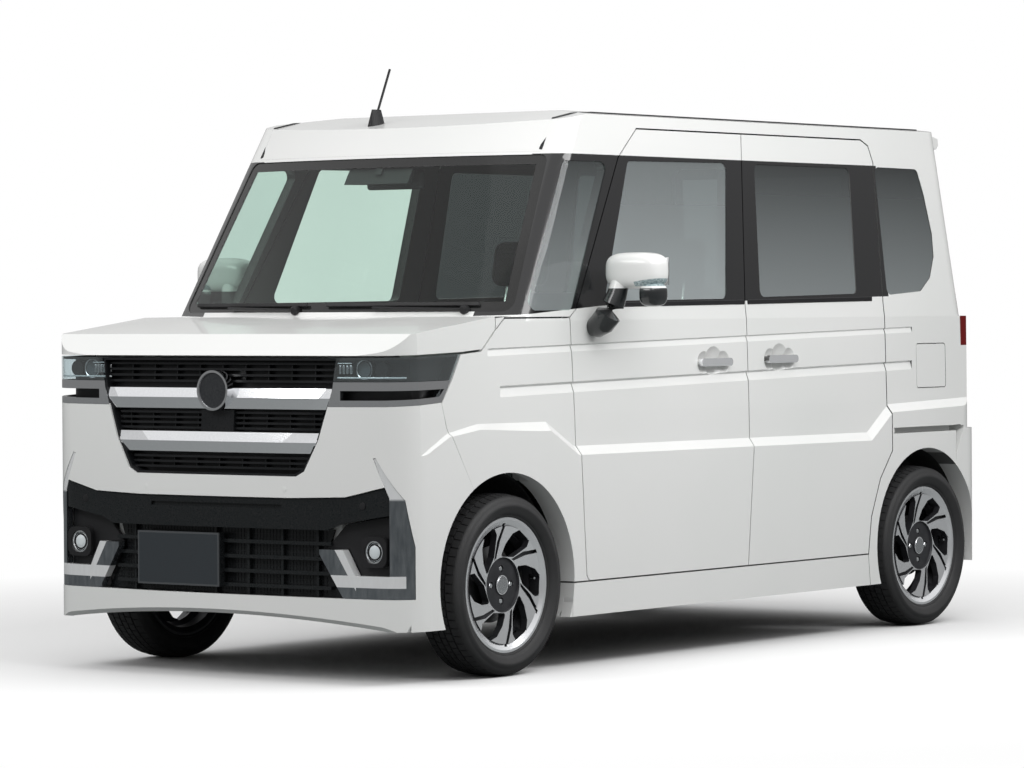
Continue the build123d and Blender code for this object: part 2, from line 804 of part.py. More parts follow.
with BuildPart() as radiator_grille:
    add(nose_layer(grown(GRILLE, -SEAT_GAP), FRAME_FRONT, BAR_DEPTH["back"][1]))
    add(nose_layer(grown(GRILLE, -GRILLE_FRAME), 0, BAR_DEPTH["back"][0]), mode=Mode.SUBTRACT)
    for low, high, count, half in SLAT_BANDS:
        for index in range(count):
            z = low + (high - low) * index / (count - 1)
            slat = both_sides([(half, z + SLAT_HEIGHT / 2), (half - 4, z - SLAT_HEIGHT / 2)])
            add(nose_layer(slat, *BAR_DEPTH["slat"]))
        for index in range(UPRIGHTS):
            x = (index - (UPRIGHTS - 1) / 2) * UPRIGHT_PITCH
            if abs(x) < half - UPRIGHT_WIDTH:
                ends = [(x, low), (x, high), (x + UPRIGHT_WIDTH, high), (x + UPRIGHT_WIDTH, low)]
                add(nose_layer(ends, *BAR_DEPTH["upright"]))
    add(nose_layer(CAMERA_BLOCK, 14, BAR_DEPTH["back"][0]))
keep("radiator_grille", radiator_grille.part)

with BuildPart() as grille_bars:
    for low, ridge, high, low_half, ridge_half, high_half in (
        (828, UPPER_BAR_RIDGE, 891, 432, 444, 454),
        (695, LOWER_BAR_RIDGE, 757, 380, 394, 407),
    ):
        front, back = BAR_DEPTH["bar"][0], BAR_DEPTH["slat"][1]
        add(facet(both_sides([(ridge_half, ridge), (high_half, high)]), front, back, ridge, -BAR_LEAN))
        add(facet(both_sides([(low_half, low), (ridge_half, ridge)]), front, back, ridge, BAR_LEAN))
    with BuildSketch(Plane.XZ.offset(-(NOSE_Y + 30))):
        with Locations((0, EMBLEM_Z)):
            Circle(EMBLEM_RADIUS)
    extrude(amount=30)
    with BuildSketch(Plane.XZ.offset(-(NOSE_Y + 5))):
        with Locations((0, EMBLEM_Z)):
            Circle(EMBLEM_RADIUS - EMBLEM_RING)
    extrude(amount=10, mode=Mode.SUBTRACT)
    add(lamp_trims.part)
    add(radiator_grille.part, mode=Mode.SUBTRACT)
keep("grille_bars", grille_bars.part)

# Bumper intake: gloss bar, slatted opening, plate, fog lamps and bright corner trims
GLOSS_BAR = both_sides(
    [(300, 559), (500, 565), (640, 596), (652, 556), (652, 514), (480, 486), (430, 466)]
)
BAR_SLOT = both_sides([(262, 540), (262, 528)])
TRIM_OUTER = [
    (601, 682), (608, 684), (688, 559), (706, 420), (706, 263), (489, 263), (404, 394), (404, 408),
    (489, 408), (532, 331), (650, 331), (650, 566),
]
FOG_PANEL = [(651, 512), (651, 330), (533, 330), (490, 409), (408, 409), (480, 484)]
FOG = (592.0, 403.0)
FOG_BEZEL = (98.0, 92.0)
FOG_BEZEL_RADIUS = 26.0
FOG_FRONT = NOSE_Y + 44.0
FOG_REACH = 60.0
FOG_WELL_RADIUS = 35.0
FOG_WELL_DEPTH = 14.0
FOG_LENS_RADIUS = 25.0
FOG_LENS_RISE = 8.0
PLATE = (-143.6, 365.6)
PLATE_WIDTH = 330.0
PLATE_HEIGHT = 165.0
PLATE_DEPTH = 30.0
LOWER_SLATS = [290, 334, 378, 424]
LOWER_SLAT_HEIGHT = 11.0
LOWER_UPRIGHTS = [-360, -20, 110, 240, 372]

with BuildPart() as corner_trims:
    trim = nose_layer(TRIM_OUTER, 2, 30)
    add(trim)
    mirror(trim, about=Plane.YZ)
keep("corner_trims", corner_trims.part)

with BuildPart() as bumper_grille:
    add(nose_layer(GLOSS_BAR, 6, 20))
    add(nose_layer(BAR_SLOT, 0, 14), mode=Mode.SUBTRACT)
    add(nose_layer(both_sides([(428, 465), (402, 392), (486, 262.5)]), 44, 52))
    for z in LOWER_SLATS:
        half = LOWER_SLAT_HEIGHT / 2
        add(nose_layer(both_sides([(430, z + half), (430, z - half)]), 24, 44.5))
    for x in LOWER_UPRIGHTS:
        add(nose_layer([(x, 262.5), (x, 465), (x + 9, 465), (x + 9, 262.5)], 30, 44.5))
    add(nose.part, mode=Mode.INTERSECT)
    with Locations((PLATE[0], NOSE_Y + PLATE_DEPTH / 2 + 1, PLATE[1])):
        Box(PLATE_WIDTH, PLATE_DEPTH, PLATE_HEIGHT)
    add(corner_trims.part, mode=Mode.SUBTRACT)
keep("bumper_grille", bumper_grille.part)

with BuildPart() as fog_lamps:
    panel = nose_layer(FOG_PANEL, 34, 46)
    add(panel)
    with BuildSketch(Plane.XZ.offset(-(FOG_FRONT + FOG_REACH))):
        with Locations(FOG):
            RectangleRounded(*FOG_BEZEL, FOG_BEZEL_RADIUS)
    extrude(amount=FOG_REACH)
    with BuildSketch(Plane.XZ.offset(-(FOG_FRONT + FOG_WELL_DEPTH))):
        with Locations(FOG):
            Circle(FOG_WELL_RADIUS)
    extrude(amount=FOG_WELL_DEPTH, mode=Mode.SUBTRACT)
    with BuildSketch(Plane.XZ.offset(-(FOG_FRONT + FOG_WELL_DEPTH))):
        with Locations(FOG):
            Circle(FOG_LENS_RADIUS)
    extrude(amount=FOG_LENS_RISE)
    mirror(fog_lamps.part, about=Plane.YZ)
    add(nose.part, mode=Mode.INTERSECT)
    add(corner_trims.part, mode=Mode.SUBTRACT)
    add(bumper_grille.part, mode=Mode.SUBTRACT)
keep("fog_lamps", fog_lamps.part)

# Front rails, bumper beam and the support that carries radiator and bonnet latch
RAIL_BEAM_X = 345.0
RAIL_BEAM = 55.0
RAIL_BEAM_Z = (430.0, 520.0)
RAIL_FRONT_Y = -1590.0
SUPPORT_Y = -1560.0
SUPPORT_TOP_Z = 1000.0
LATCH_TOP_Z = 1046.2
FLAP_BACK_X = UPPER_SIDE_X - FLAP_DEPTH
REAR_CUT_Y = 1495.0

# Body shell: what the panels leave, with its windows and pockets cut
with BuildPart() as body_shell:
    add(shell.part)
    for side_outline in (FRONT_DOOR, SLIDING_DOOR):
        add(pair(side_panel(side_outline, -GAP / 2, 600)), mode=Mode.SUBTRACT)
    add(pair(side_panel(FENDER, -GAP / 2, 600)), mode=Mode.SUBTRACT)
    add(pair(side_panel(SKIRT, 0, 700)), mode=Mode.SUBTRACT)
    add(side_prism(BUMPER, -REACH, REACH), mode=Mode.SUBTRACT)
    add(block((-REACH, REACH), (-REACH, -1345), (0, 600)), mode=Mode.SUBTRACT)
    add(block((-REACH, REACH), (-REACH, SCREEN_FOOT_Y - 4), (0, REACH)), mode=Mode.SUBTRACT)
    add(side_prism(REAR_BUMPER, -REACH, REACH), mode=Mode.SUBTRACT)
    add(block((-REACH, REACH), (REAR_CUT_Y, REACH), (0, 700)), mode=Mode.SUBTRACT)
    add(front_prism(grown(TAILGATE, GAP), TAILGATE_TOP_Y - GAP, TAIL_Y + 50), mode=Mode.SUBTRACT)
    add(pair(side_panel(REAR_LAMP, 0, 600)), mode=Mode.SUBTRACT)
    add(front_prism(grown(ROOF, SEAT_GAP), ROOF_FRONT_Y, TAILGATE_TOP_Y), mode=Mode.SUBTRACT)
    for window in (QUARTER_WINDOW, TAIL_WINDOW):
        add(pair(side_panel(window, 0, INNER_X, WINDOW_RADIUS)), mode=Mode.SUBTRACT)
    add(front_prism(SCREEN, SCREEN_FOOT_Y - 100, -650, 30), mode=Mode.SUBTRACT)
    add(side_panel(FUEL_FLAP, -1, POCKET_X, 12), mode=Mode.SUBTRACT)
    add(pair(side_panel(RAIL_SLOT, 0, UPPER_SIDE_X - 8)), mode=Mode.SUBTRACT)
    add(block((POCKET_X, FLAP_BACK_X - SEAT_GAP), (1276, 1291), (900, 930)))
    for side in (1, -1):
        beam_x = (side * RAIL_BEAM_X, side * (RAIL_BEAM_X + RAIL_BEAM))
        add(block(beam_x, (RAIL_FRONT_Y, FIREWALL_Y - 1), RAIL_BEAM_Z))
        add(
            block(
                (side * RAIL_BEAM_X, side * (RAIL_BEAM_X + 40)),
                (SUPPORT_Y, SUPPORT_Y + 30),
                (RAIL_BEAM_Z[0], SUPPORT_TOP_Z),
            )
        )
    add(block((-450, 450), (RAIL_FRONT_Y - 32, RAIL_FRONT_Y), RAIL_BEAM_Z))
    add(block((-600, 600), (SUPPORT_Y, SUPPORT_Y + 30), (SUPPORT_TOP_Z - 40, SUPPORT_TOP_Z)))
    add(block((-30, 30), (SUPPORT_Y + 5, SUPPORT_Y + 25), (SUPPORT_TOP_Z - 5, LATCH_TOP_Z)))
keep("body_shell", body_shell.part)


# Glass: thin layers of the greenhouse, just inside their openings
with BuildPart() as glass_layer:
    add(greenhouse_limited(GLASS_RECESS, GLASS_RECESS, GLASS_RECESS))
    add(
        greenhouse_limited(GLASS_RECESS + GLASS, GLASS_RECESS + GLASS, GLASS_RECESS + GLASS),
        mode=Mode.SUBTRACT,
    )


def glass_piece(cutter):
    """The glass inside one opening."""
    with BuildPart() as piece:
        add(glass_layer.part)
        add(cutter, mode=Mode.INTERSECT)
    return piece.part


windscreen = glass_piece(front_prism(grown(SCREEN, -GLASS_SEAL), SCREEN_FOOT_Y - 100, -700, 30))
keep("windscreen", windscreen)
tailgate_glass = glass_piece(
    front_prism(grown(TAILGATE_WINDOW, -GLASS_SEAL), TAILGATE_TOP_Y, TAIL_Y + 50, 40)
)
keep("tailgate_glass", tailgate_glass)

with BuildPart() as side_glass:
    for window in (QUARTER_WINDOW, SLIDING_WINDOW, TAIL_WINDOW):
        pane = glass_piece(side_panel(window, GLASS_SEAL, INNER_X, WINDOW_RADIUS))
        add(pane)
        mirror(pane, about=Plane.YZ)
keep("side_glass", side_glass.part)

door_glass = glass_piece(side_panel(DOOR_WINDOW, GLASS_SEAL, INNER_X, WINDOW_RADIUS))
keep("door_glass_left", door_glass)
keep("door_glass_right", mirror(door_glass, about=Plane.YZ, mode=Mode.PRIVATE))

# Door mirror: a rounded housing on an arm that stands on the door's shoulder
MIRROR_X = (745.0, 948.0)
MIRROR_Y = (-695.0, -575.0)
MIRROR_Z = (1180.0, 1303.0)
MIRROR_RADIUS = 36.0
MIRROR_BASE = [(868, 1215), (943, 1215), (935, 1140), (898, 1140)]
MIRROR_BASE_Y = (-684.0, -592.0)
MIRROR_BASE_RADIUS = 12.0
MIRROR_ARM = [
    (690, 1050),
    (740, 1036),
    (778, 1052),
    (800, 1100),
    (814, 1160),
    (818, 1230),
    (776, 1230),
    (768, 1170),
    (740, 1130),
    (690, 1120),
]
MIRROR_ARM_Y = (-726.0, -654.0)
MIRROR_ARM_RADIUS = 9.0

with BuildPart() as mirror_left:
    with Locations((sum(MIRROR_X) / 2, sum(MIRROR_Y) / 2, sum(MIRROR_Z) / 2)):
        Box(MIRROR_X[1] - MIRROR_X[0], MIRROR_Y[1] - MIRROR_Y[0], MIRROR_Z[1] - MIRROR_Z[0])
    fillet(mirror_left.edges(), MIRROR_RADIUS)
    add(front_prism(MIRROR_BASE, *MIRROR_BASE_Y, MIRROR_BASE_RADIUS))
    add(front_prism(MIRROR_ARM, *MIRROR_ARM_Y, MIRROR_ARM_RADIUS))
    add(outer_body.part, mode=Mode.SUBTRACT)
keep("mirror_left", mirror_left.part)
keep("mirror_right", mirror(mirror_left.part, about=Plane.YZ, mode=Mode.PRIVATE))

# Wheel arch liners: a barrel round each wheel with an inner wall, open below
STRUT_TOP = (510.0, 820.0)
BALL_JOINT = (600.0, 190.0)

TOWER_X = 535.0
TOWER_RADIUS = 95.0
TOWER_FOOT_Z = 610.0
TOWER_TOP_Z = 807.5

with BuildPart() as wheel_liners:
    for key, axle_y in (("front", FRONT_AXLE_Y), ("rear", REAR_AXLE_Y)):
        inner = HOUSE_INNER_X[key]
        centre = (axle_y + ARCH_SHIFT, TYRE_RADIUS + ARCH_RISE)
        outer = LINER_OUTER_X if key == "front" else CABIN_X - 0.5
        with BuildSketch(Plane.YZ.offset(inner)):
            with Locations(centre):
                Circle(LINER_RADIUS + LINER_WALL)
                Rectangle(
                    2 * REACH, REACH, align=(Align.CENTER, Align.MAX), mode=Mode.SUBTRACT
                )
        extrude(amount=outer - inner)
        with BuildSketch(Plane.YZ.offset(inner + LINER_WALL)):
            with Locations(centre):
                Circle(LINER_RADIUS)
        extrude(amount=outer - inner, mode=Mode.SUBTRACT)
    tower = (TOWER_X, FRONT_AXLE_Y)
    with BuildSketch(Plane.XY.offset(TOWER_FOOT_Z)):
        with Locations(tower):
            Circle(TOWER_RADIUS + LINER_WALL)
    extrude(amount=TOWER_TOP_Z + 12 - TOWER_FOOT_Z)
    with BuildSketch(Plane.XY.offset(500)):
        with Locations(tower):
            Circle(TOWER_RADIUS)
    extrude(amount=TOWER_TOP_Z + SEAT_GAP - 500, mode=Mode.SUBTRACT)
    for axle_y, half in ((FRONT_AXLE_Y, 85), (REAR_AXLE_Y, 75)):
        add(block((-REACH, 600), (axle_y - half, axle_y + half), (0, 430)), mode=Mode.SUBTRACT)
    mirror(wheel_liners.part, about=Plane.YZ)
keep("wheel_liners", wheel_liners.part)

# Wheels, made at the origin about the X axis with the outer face towards +X
RIM_FACE_X = 59.0
SPOKES = 6
SPOKE_THICKNESS = 22.0
HUB_RADIUS = 82.0
HUB_RECESS = 7.0
BORE_RADIUS = 29.0
PITCH_RADIUS = 50.0
STUDS = 4
STUD_HOLE_RADIUS = 11.0
DISC_BACK_X = 22.0
SLOT_DEPTH = 9.0

RIM_HALF = RIM_WIDTH / 2
FLANGE_WALL = 5.0
RIM_PROFILE = [
    (-RIM_HALF, FLANGE_RADIUS),
    (-RIM_HALF + FLANGE_WALL, FLANGE_RADIUS),
    (-RIM_HALF + 7, BEAD_RADIUS),
    (-20, BEAD_RADIUS - 3),
    (0, BEAD_RADIUS - 16),
    (30, BEAD_RADIUS - 3),
    (RIM_HALF - 7, BEAD_RADIUS),
    (RIM_HALF - FLANGE_WALL, FLANGE_RADIUS),
    (RIM_HALF, FLANGE_RADIUS),
    (RIM_HALF, FLANGE_RADIUS - 8),
    (RIM_HALF - 9, BEAD_RADIUS - 8),
    (30, BEAD_RADIUS - 11),
    (0, BEAD_RADIUS - 24),
    (-20, BEAD_RADIUS - 11),
    (-RIM_HALF + 9, BEAD_RADIUS - 8),
    (-RIM_HALF, FLANGE_RADIUS - 8),
]
DISC_RIM_RADIUS = BEAD_RADIUS - 9
SPOKE_RISE = 9.0
DISC_PROFILE = [
    (DISC_BACK_X, BORE_RADIUS),
    (DISC_BACK_X, HUB_RADIUS - 14),
    (RIM_FACE_X - SPOKE_THICKNESS, DISC_RIM_RADIUS),
    (RIM_FACE_X, DISC_RIM_RADIUS),
    (RIM_FACE_X - SPOKE_RISE, HUB_RADIUS + 3),
    (RIM_FACE_X - SPOKE_RISE - HUB_RECESS, HUB_RADIUS),
    (RIM_FACE_X - SPOKE_RISE - HUB_RECESS, BORE_RADIUS),
]

# One sixth of the wheel's face as (radius, degrees clockwise): the opening between two blades,
# and the slot in a blade
SPOKE_WINDOW = [
    (88, -8), (126, 4), (162, 15), (DISC_RIM_RADIUS + 3, 25), (DISC_RIM_RADIUS + 3, 43), (160, 46), (98, 32),
]
SPOKE_WINDOW_RADIUS = 7.0
SPOKE_SLOT = [
    (DISC_RIM_RADIUS + 9, -2.4), (DISC_RIM_RADIUS + 9, 1.4), (138, -8.5), (90, -23), (88, -31), (138, -15),
]


def polar(radius, degrees):
    """A point of the wheel's face, from its radius and its angle from straight up."""
    return (radius * sin(radians(degrees)), radius * cos(radians(degrees)))


def turned(points, index):
    """One sixth's outline, turned to its place on the wheel."""
    return [polar(radius, angle + 360 / SPOKES * index) for radius, angle in points]


with BuildPart() as rim:
    for profile in (RIM_PROFILE, DISC_PROFILE):
        with BuildSketch(Plane.XZ):
            with BuildLine():
                outline(profile)
            make_face()
        revolve(axis=Axis.X)
    with BuildSketch(Plane.YZ.offset(DISC_BACK_X - 5)):
        for index in range(SPOKES):
            with BuildLine():
                outline(turned(SPOKE_WINDOW, index), SPOKE_WINDOW_RADIUS)
            make_face()
    extrude(amount=RIM_FACE_X, mode=Mode.SUBTRACT)
    with BuildSketch(Plane.YZ.offset(RIM_FACE_X - SPOKE_RISE / 2 - SLOT_DEPTH)):
        for index in range(SPOKES):
            with BuildLine():
                outline(turned(SPOKE_SLOT, index))
            make_face()
    extrude(amount=SPOKE_THICKNESS, mode=Mode.SUBTRACT)
    with BuildSketch(Plane.YZ):
        with PolarLocations(PITCH_RADIUS, STUDS):
            Circle(STUD_HOLE_RADIUS)
    extrude(amount=RIM_FACE_X, mode=Mode.SUBTRACT)
    with BuildSketch(Plane.YZ.offset(RIM_FACE_X - SPOKE_RISE - HUB_RECESS - 6)):
        Circle(BORE_RADIUS + 1)
    extrude(amount=10)

TYRE_PROFILE = [
    (-RIM_HALF + 8, BEAD_RADIUS + 1.5),
    (-RIM_HALF + 6, FLANGE_RADIUS + 1),
    (-RIM_HALF - 1, FLANGE_RADIUS + 1.5),
    (-TYRE_WIDTH / 2, 243),
    (-TREAD_WIDTH / 2 - 7, 268),
    (-TREAD_WIDTH / 2 + 8, TYRE_RADIUS - 3),
    (-20, TYRE_RADIUS),
    (20, TYRE_RADIUS),
    (TREAD_WIDTH / 2 - 8, TYRE_RADIUS - 3),
    (TREAD_WIDTH / 2 + 7, 268),
    (TYRE_WIDTH / 2, 243),
    (RIM_HALF + 1, FLANGE_RADIUS + 1.5),
    (RIM_HALF - 6, FLANGE_RADIUS + 1),
    (RIM_HALF - 8, BEAD_RADIUS + 1.5),
]

with BuildPart() as tyre:
    with BuildSketch(Plane.XZ):
        with BuildLine():
            outline(TYRE_PROFILE)
        make_face()
    revolve(axis=Axis.X)

for end, axle_y in (("front", FRONT_AXLE_Y), ("rear", REAR_AXLE_Y)):
    for side_name, side, turn in (("left", 1, 0), ("right", -1, 180)):
        place = Location((side * WHEEL_X, axle_y, TYRE_RADIUS), (0, 0, turn))
        keep(f"rim_{end}_{side_name}", rim.part.moved(place))
        keep(f"tyre_{end}_{side_name}", tyre.part.moved(place))

# Front knuckle with its brake disc, strut and hub, on the leaning steering axis
HUB_X = WHEEL_X + DISC_BACK_X
DISC_RADIUS = 118.0
DISC_THICKNESS = 14.0
DISC_INNER_X = WHEEL_X - 12
HUB_FLANGE_RADIUS = 58.0
HUB_FLANGE = 10.0
STUB_RADIUS = 48.0
STUB_LENGTH = 62.0
CALIPER_Y = (FRONT_AXLE_Y + 70, FRONT_AXLE_Y + 125)
STRUT_RADIUS = 24.0
STRUT_LENGTH = 505.0
STRUT_FOOT = (535.0, FRONT_AXLE_Y, 300.0)
STRUT_LEAN_X = -25.0
SPRING_SEAT_RADIUS = 62.0
SPRING_SEAT = 12.0
SPRING_START = 300.0
SPRING_RADIUS = 52.0
SPRING_LENGTH = 150.0
BALL_RISE = 8.0
BALL_RADIUS = 11.0


def steering_plane(side, rise):
    """The plane square to a side's leaning steering axis, at a distance above its ball joint."""
    lean = (side * (STRUT_TOP[0] - BALL_JOINT[0]), 0, STRUT_TOP[1] - BALL_JOINT[1])
    foot = (side * BALL_JOINT[0], FRONT_AXLE_Y, BALL_JOINT[1])
    return Plane(origin=foot, x_dir=(0, 1, 0), z_dir=lean).offset(rise)


with BuildPart() as knuckle_left:
    for start, radius, length in (
        (WHEEL_X - STUB_LENGTH, STUB_RADIUS, STUB_LENGTH + DISC_BACK_X - HUB_FLANGE),
        (WHEEL_X + DISC_BACK_X - HUB_FLANGE, HUB_FLANGE_RADIUS, HUB_FLANGE - SEAT_GAP),
        (DISC_INNER_X, DISC_RADIUS, DISC_THICKNESS),
    ):
        with BuildSketch(Plane.YZ.offset(start)):
            with Locations((FRONT_AXLE_Y, TYRE_RADIUS)):
                Circle(radius)
        extrude(amount=length)
    add(block((578, WHEEL_X - 20), CALIPER_Y, (235, 335)))
    add(block((578, 600), (FRONT_AXLE_Y + 20, FRONT_AXLE_Y + 100), (245, 325)))
    add(block((WHEEL_X - 24, WHEEL_X + 10), (FRONT_AXLE_Y + 112, FRONT_AXLE_Y + 128), (240, 330)))
    with BuildSketch(steering_plane(1, BALL_RISE)):
        RectangleRounded(44, 34, 8)
    extrude(amount=90)
    add(block((512, 600), (FRONT_AXLE_Y - 26, FRONT_AXLE_Y + 26), (300, 372)))
    strut_plane = Plane(origin=STRUT_FOOT, x_dir=(0, 1, 0), z_dir=(STRUT_LEAN_X, 0, STRUT_LENGTH))
    for start, radius, length in (
        (0, STRUT_RADIUS, STRUT_LENGTH),
        (SPRING_START, SPRING_SEAT_RADIUS, SPRING_SEAT),
        (SPRING_START + SPRING_SEAT, SPRING_RADIUS, SPRING_LENGTH),
    ):
        with BuildSketch(strut_plane.offset(start)):
            Circle(radius)
        extrude(amount=length)
keep("knuckle_left", knuckle_left.part)
keep("knuckle_right", mirror(knuckle_left.part, about=Plane.YZ, mode=Mode.PRIVATE))

# Front suspension: subframe, lower arms, steering rack, strut towers
with BuildPart() as front_suspension:
    add(block((-360, 360), (FRONT_AXLE_Y - 60, FRONT_AXLE_Y + 90), (190, 235)))
    for side in (1, -1):
        arm = plan_prism(
            [
                (side * 320, FRONT_AXLE_Y - 50),
                (side * 590, FRONT_AXLE_Y - 20),
                (side * 622, FRONT_AXLE_Y),
                (side * 590, FRONT_AXLE_Y + 20),
                (side * 320, FRONT_AXLE_Y + 80),
            ],
            166,
            BALL_JOINT[1] + 0.5,
        )
        add(arm)
        add(
            block(
                (side * (RAIL_BEAM_X - 25), side * (RAIL_BEAM_X + 30)),
                (FRONT_AXLE_Y + 40, FRONT_AXLE_Y + 90),
                (190, RAIL_BEAM_Z[0] - SEAT_GAP),
            )
        )
        with BuildSketch(steering_plane(side, -10)):
            Circle(BALL_RADIUS)
        extrude(amount=10 + BALL_RISE - SEAT_GAP)
keep("front_suspension", front_suspension.part)

# Rear beam axle with trailing arms, springs and hubs
BEAM_END_X = 560.0
BEAM_HALF = 40.0
BEAM_Z = (245.0, 315.0)
DRUM_RADIUS = 105.0
DRUM_FACE_X = WHEEL_X + 2
ARM_X = (440.0, 500.0)
ARM_Z = 235.0
REAR_SPRING_RADIUS = 45.0

with BuildPart() as rear_axle:
    add(block((-BEAM_END_X, BEAM_END_X), (REAR_AXLE_Y - BEAM_HALF, REAR_AXLE_Y + BEAM_HALF), BEAM_Z))
    for side in (1, -1):
        for start, radius, end in (
            (BEAM_END_X - 20, HUB_FLANGE_RADIUS, HUB_X - SEAT_GAP),
            (BEAM_END_X, DRUM_RADIUS, DRUM_FACE_X),
        ):
            with BuildSketch(Plane.YZ.offset(start if side > 0 else -end)):
                with Locations((REAR_AXLE_Y, TYRE_RADIUS)):
                    Circle(radius)
            extrude(amount=end - start)
        arm_x = (side * ARM_X[0], side * ARM_X[1])
        add(block(arm_x, (842, REAR_AXLE_Y), (ARM_Z, 285)))
        add(block(arm_x, (740, 850), (ARM_Z, FLOOR_TOP_Z - FLOOR_SHEET - SEAT_GAP)))
        with BuildSketch(Plane.XY.offset(BEAM_Z[1] - 5)):
            with Locations((side * sum(ARM_X) / 2, REAR_AXLE_Y)):
                Circle(REAR_SPRING_RADIUS)
        extrude(amount=REAR_FLOOR_Z - FLOOR_SHEET - SEAT_GAP - BEAM_Z[1] + 5)
keep("rear_axle", rear_axle.part)

# Floor: a plate between the sills, with the rear axle's tunnel stepped up behind
FLOOR_X = CABIN_X - SEAT_GAP
HOUSE_GAP = HOUSE_INNER_X["rear"] - SEAT_GAP
FRONT_HOUSE_GAP = HOUSE_INNER_X["front"] - SEAT_GAP

with BuildPart() as floor_pan:
    add(
        side_prism(
            [
                (FIREWALL_Y + SEAT_GAP, FLOOR_TOP_Z - FLOOR_SHEET),
                (820, FLOOR_TOP_Z - FLOOR_SHEET),
                (880, REAR_FLOOR_Z - FLOOR_SHEET),
                (CABIN_TAIL_Y - SEAT_GAP - 110, REAR_FLOOR_Z - FLOOR_SHEET),
                (CABIN_TAIL_Y - SEAT_GAP - 110, REAR_FLOOR_Z),
                (860, REAR_FLOOR_Z),
                (800, FLOOR_TOP_Z),
                (FIREWALL_Y + SEAT_GAP, FLOOR_TOP_Z),
            ],
            -FLOOR_X,
            FLOOR_X,
        )
    )
    house_reach = LINER_RADIUS + LINER_WALL + SEAT_GAP
    for side in (1, -1):
        rear_start = REAR_AXLE_Y + ARCH_SHIFT - house_reach
        front_end = FRONT_AXLE_Y + ARCH_SHIFT + house_reach
        add(
            block((side * HOUSE_GAP, side * REACH), (rear_start, REACH), (0, REACH)),
            mode=Mode.SUBTRACT,
        )
        add(
            block((side * FRONT_HOUSE_GAP, side * REACH), (-REACH, front_end), (0, REACH)),
            mode=Mode.SUBTRACT,
        )
keep("floor_pan", floor_pan.part)

# Inside: dashboard, seats, steering wheel and mirror
DRIVER_X = -325.0
DASH_X = 640.0
COLUMN_LENGTH = 120.0
COLUMN_RADIUS = 38.0
COLUMN_LEAN = 25.0
COLUMN_FOOT = (DRIVER_X, -700.0, 905.0)
DASH_PROFILE = [
    (FIREWALL_Y + SEAT_GAP, 640),
    (FIREWALL_Y + SEAT_GAP, 1078),
    (-900, 1092),
    (-720, 1070),
    (-660, 1010),
    (-640, 900),
    (-680, 760),
    (-800, 640),
]
with BuildPart() as dashboard:
    add(side_prism(DASH_PROFILE, -DASH_X, DASH_X))
    column_axis = (0, cos(radians(COLUMN_LEAN)), sin(radians(COLUMN_LEAN)))
    column_plane = Plane(origin=COLUMN_FOOT, x_dir=(1, 0, 0), z_dir=column_axis)
    with BuildSketch(column_plane):
        Circle(COLUMN_RADIUS)
    extrude(amount=COLUMN_LENGTH)
keep("dashboard", dashboard.part)

WHEEL_PLANE = column_plane.offset(COLUMN_LENGTH + SEAT_GAP)
GRIP_RADIUS = 179.0
GRIP_HALF = 13.0
BOSS_RADIUS = 62.0
BOSS_DEPTH = 46.0
with BuildPart() as steering_wheel:
    with BuildSketch(WHEEL_PLANE):
        Circle(BOSS_RADIUS)
    extrude(amount=BOSS_DEPTH)
    with BuildSketch(WHEEL_PLANE.offset(BOSS_DEPTH - 2 * GRIP_HALF)):
        Circle(GRIP_RADIUS + GRIP_HALF)
        Circle(GRIP_RADIUS - GRIP_HALF, mode=Mode.SUBTRACT)
    extrude(amount=2 * GRIP_HALF)
    with BuildSketch(WHEEL_PLANE.offset(22)):
        with Locations((100, 0), (-100, 0)):
            Rectangle(150, 34)
        with Locations((0, -100)):
            Rectangle(60, 150)
    extrude(amount=14)
keep("steering_wheel", steering_wheel.part)

SEATS_X = (DRIVER_X, -DRIVER_X)
SEAT_HALF = 250.0
SEAT_PROFILE = [
    (-380, 480),
    (-400, 600),
    (-360, 660),
    (120, 625),
    (235, 1200),
    (330, 1195),
    (260, 560),
    (200, 480),
]
HEADREST_HALF = 120.0
with BuildPart() as front_seats:
    for seat_x in SEATS_X:
        add(side_prism(SEAT_PROFILE, seat_x - SEAT_HALF, seat_x + SEAT_HALF))
        add(block((seat_x - HEADREST_HALF, seat_x + HEADREST_HALF), (235, 320), (1196, 1390)))
        add(block((seat_x - 200, seat_x + 200), (-300, 150), (FLOOR_TOP_Z + SEAT_GAP, 481)))
keep("front_seats", front_seats.part)

REAR_SEAT_HALF = 530.0
REAR_SEAT_PROFILE = [
    (560, 520),
    (550, 640),
    (600, 670),
    (1060, 640),
    (1180, 1160),
    (1270, 1150),
    (1180, 540),
    (1100, 480),
    (880, 480),
]
REAR_HEADRESTS_X = (-290.0, 290.0)

with BuildPart() as rear_seat:
    add(side_prism(REAR_SEAT_PROFILE, -REAR_SEAT_HALF, REAR_SEAT_HALF))
    for x in REAR_HEADRESTS_X:
        add(block((x - HEADREST_HALF, x + HEADREST_HALF), (1175, 1250), (1150, 1330)))
    add(block((-480, 480), (890, 1090), (REAR_FLOOR_Z + SEAT_GAP, 485)))
    add(block((-480, 480), (600, 780), (FLOOR_TOP_Z + SEAT_GAP, 525)))
keep("rear_seat", rear_seat.part)

with BuildPart() as interior_mirror:
    with Locations((0, -780, 1545)):
        Box(230, 24, 62)
    fillet(interior_mirror.edges(), 11)
    add(block((-14, 14), (-900, -785), (1560, 1590)))
    glass_inside = GLASS_RECESS + GLASS + SEAT_GAP
    add(greenhouse(glass_inside, glass_inside), mode=Mode.INTERSECT)
keep("interior_mirror", interior_mirror.part)

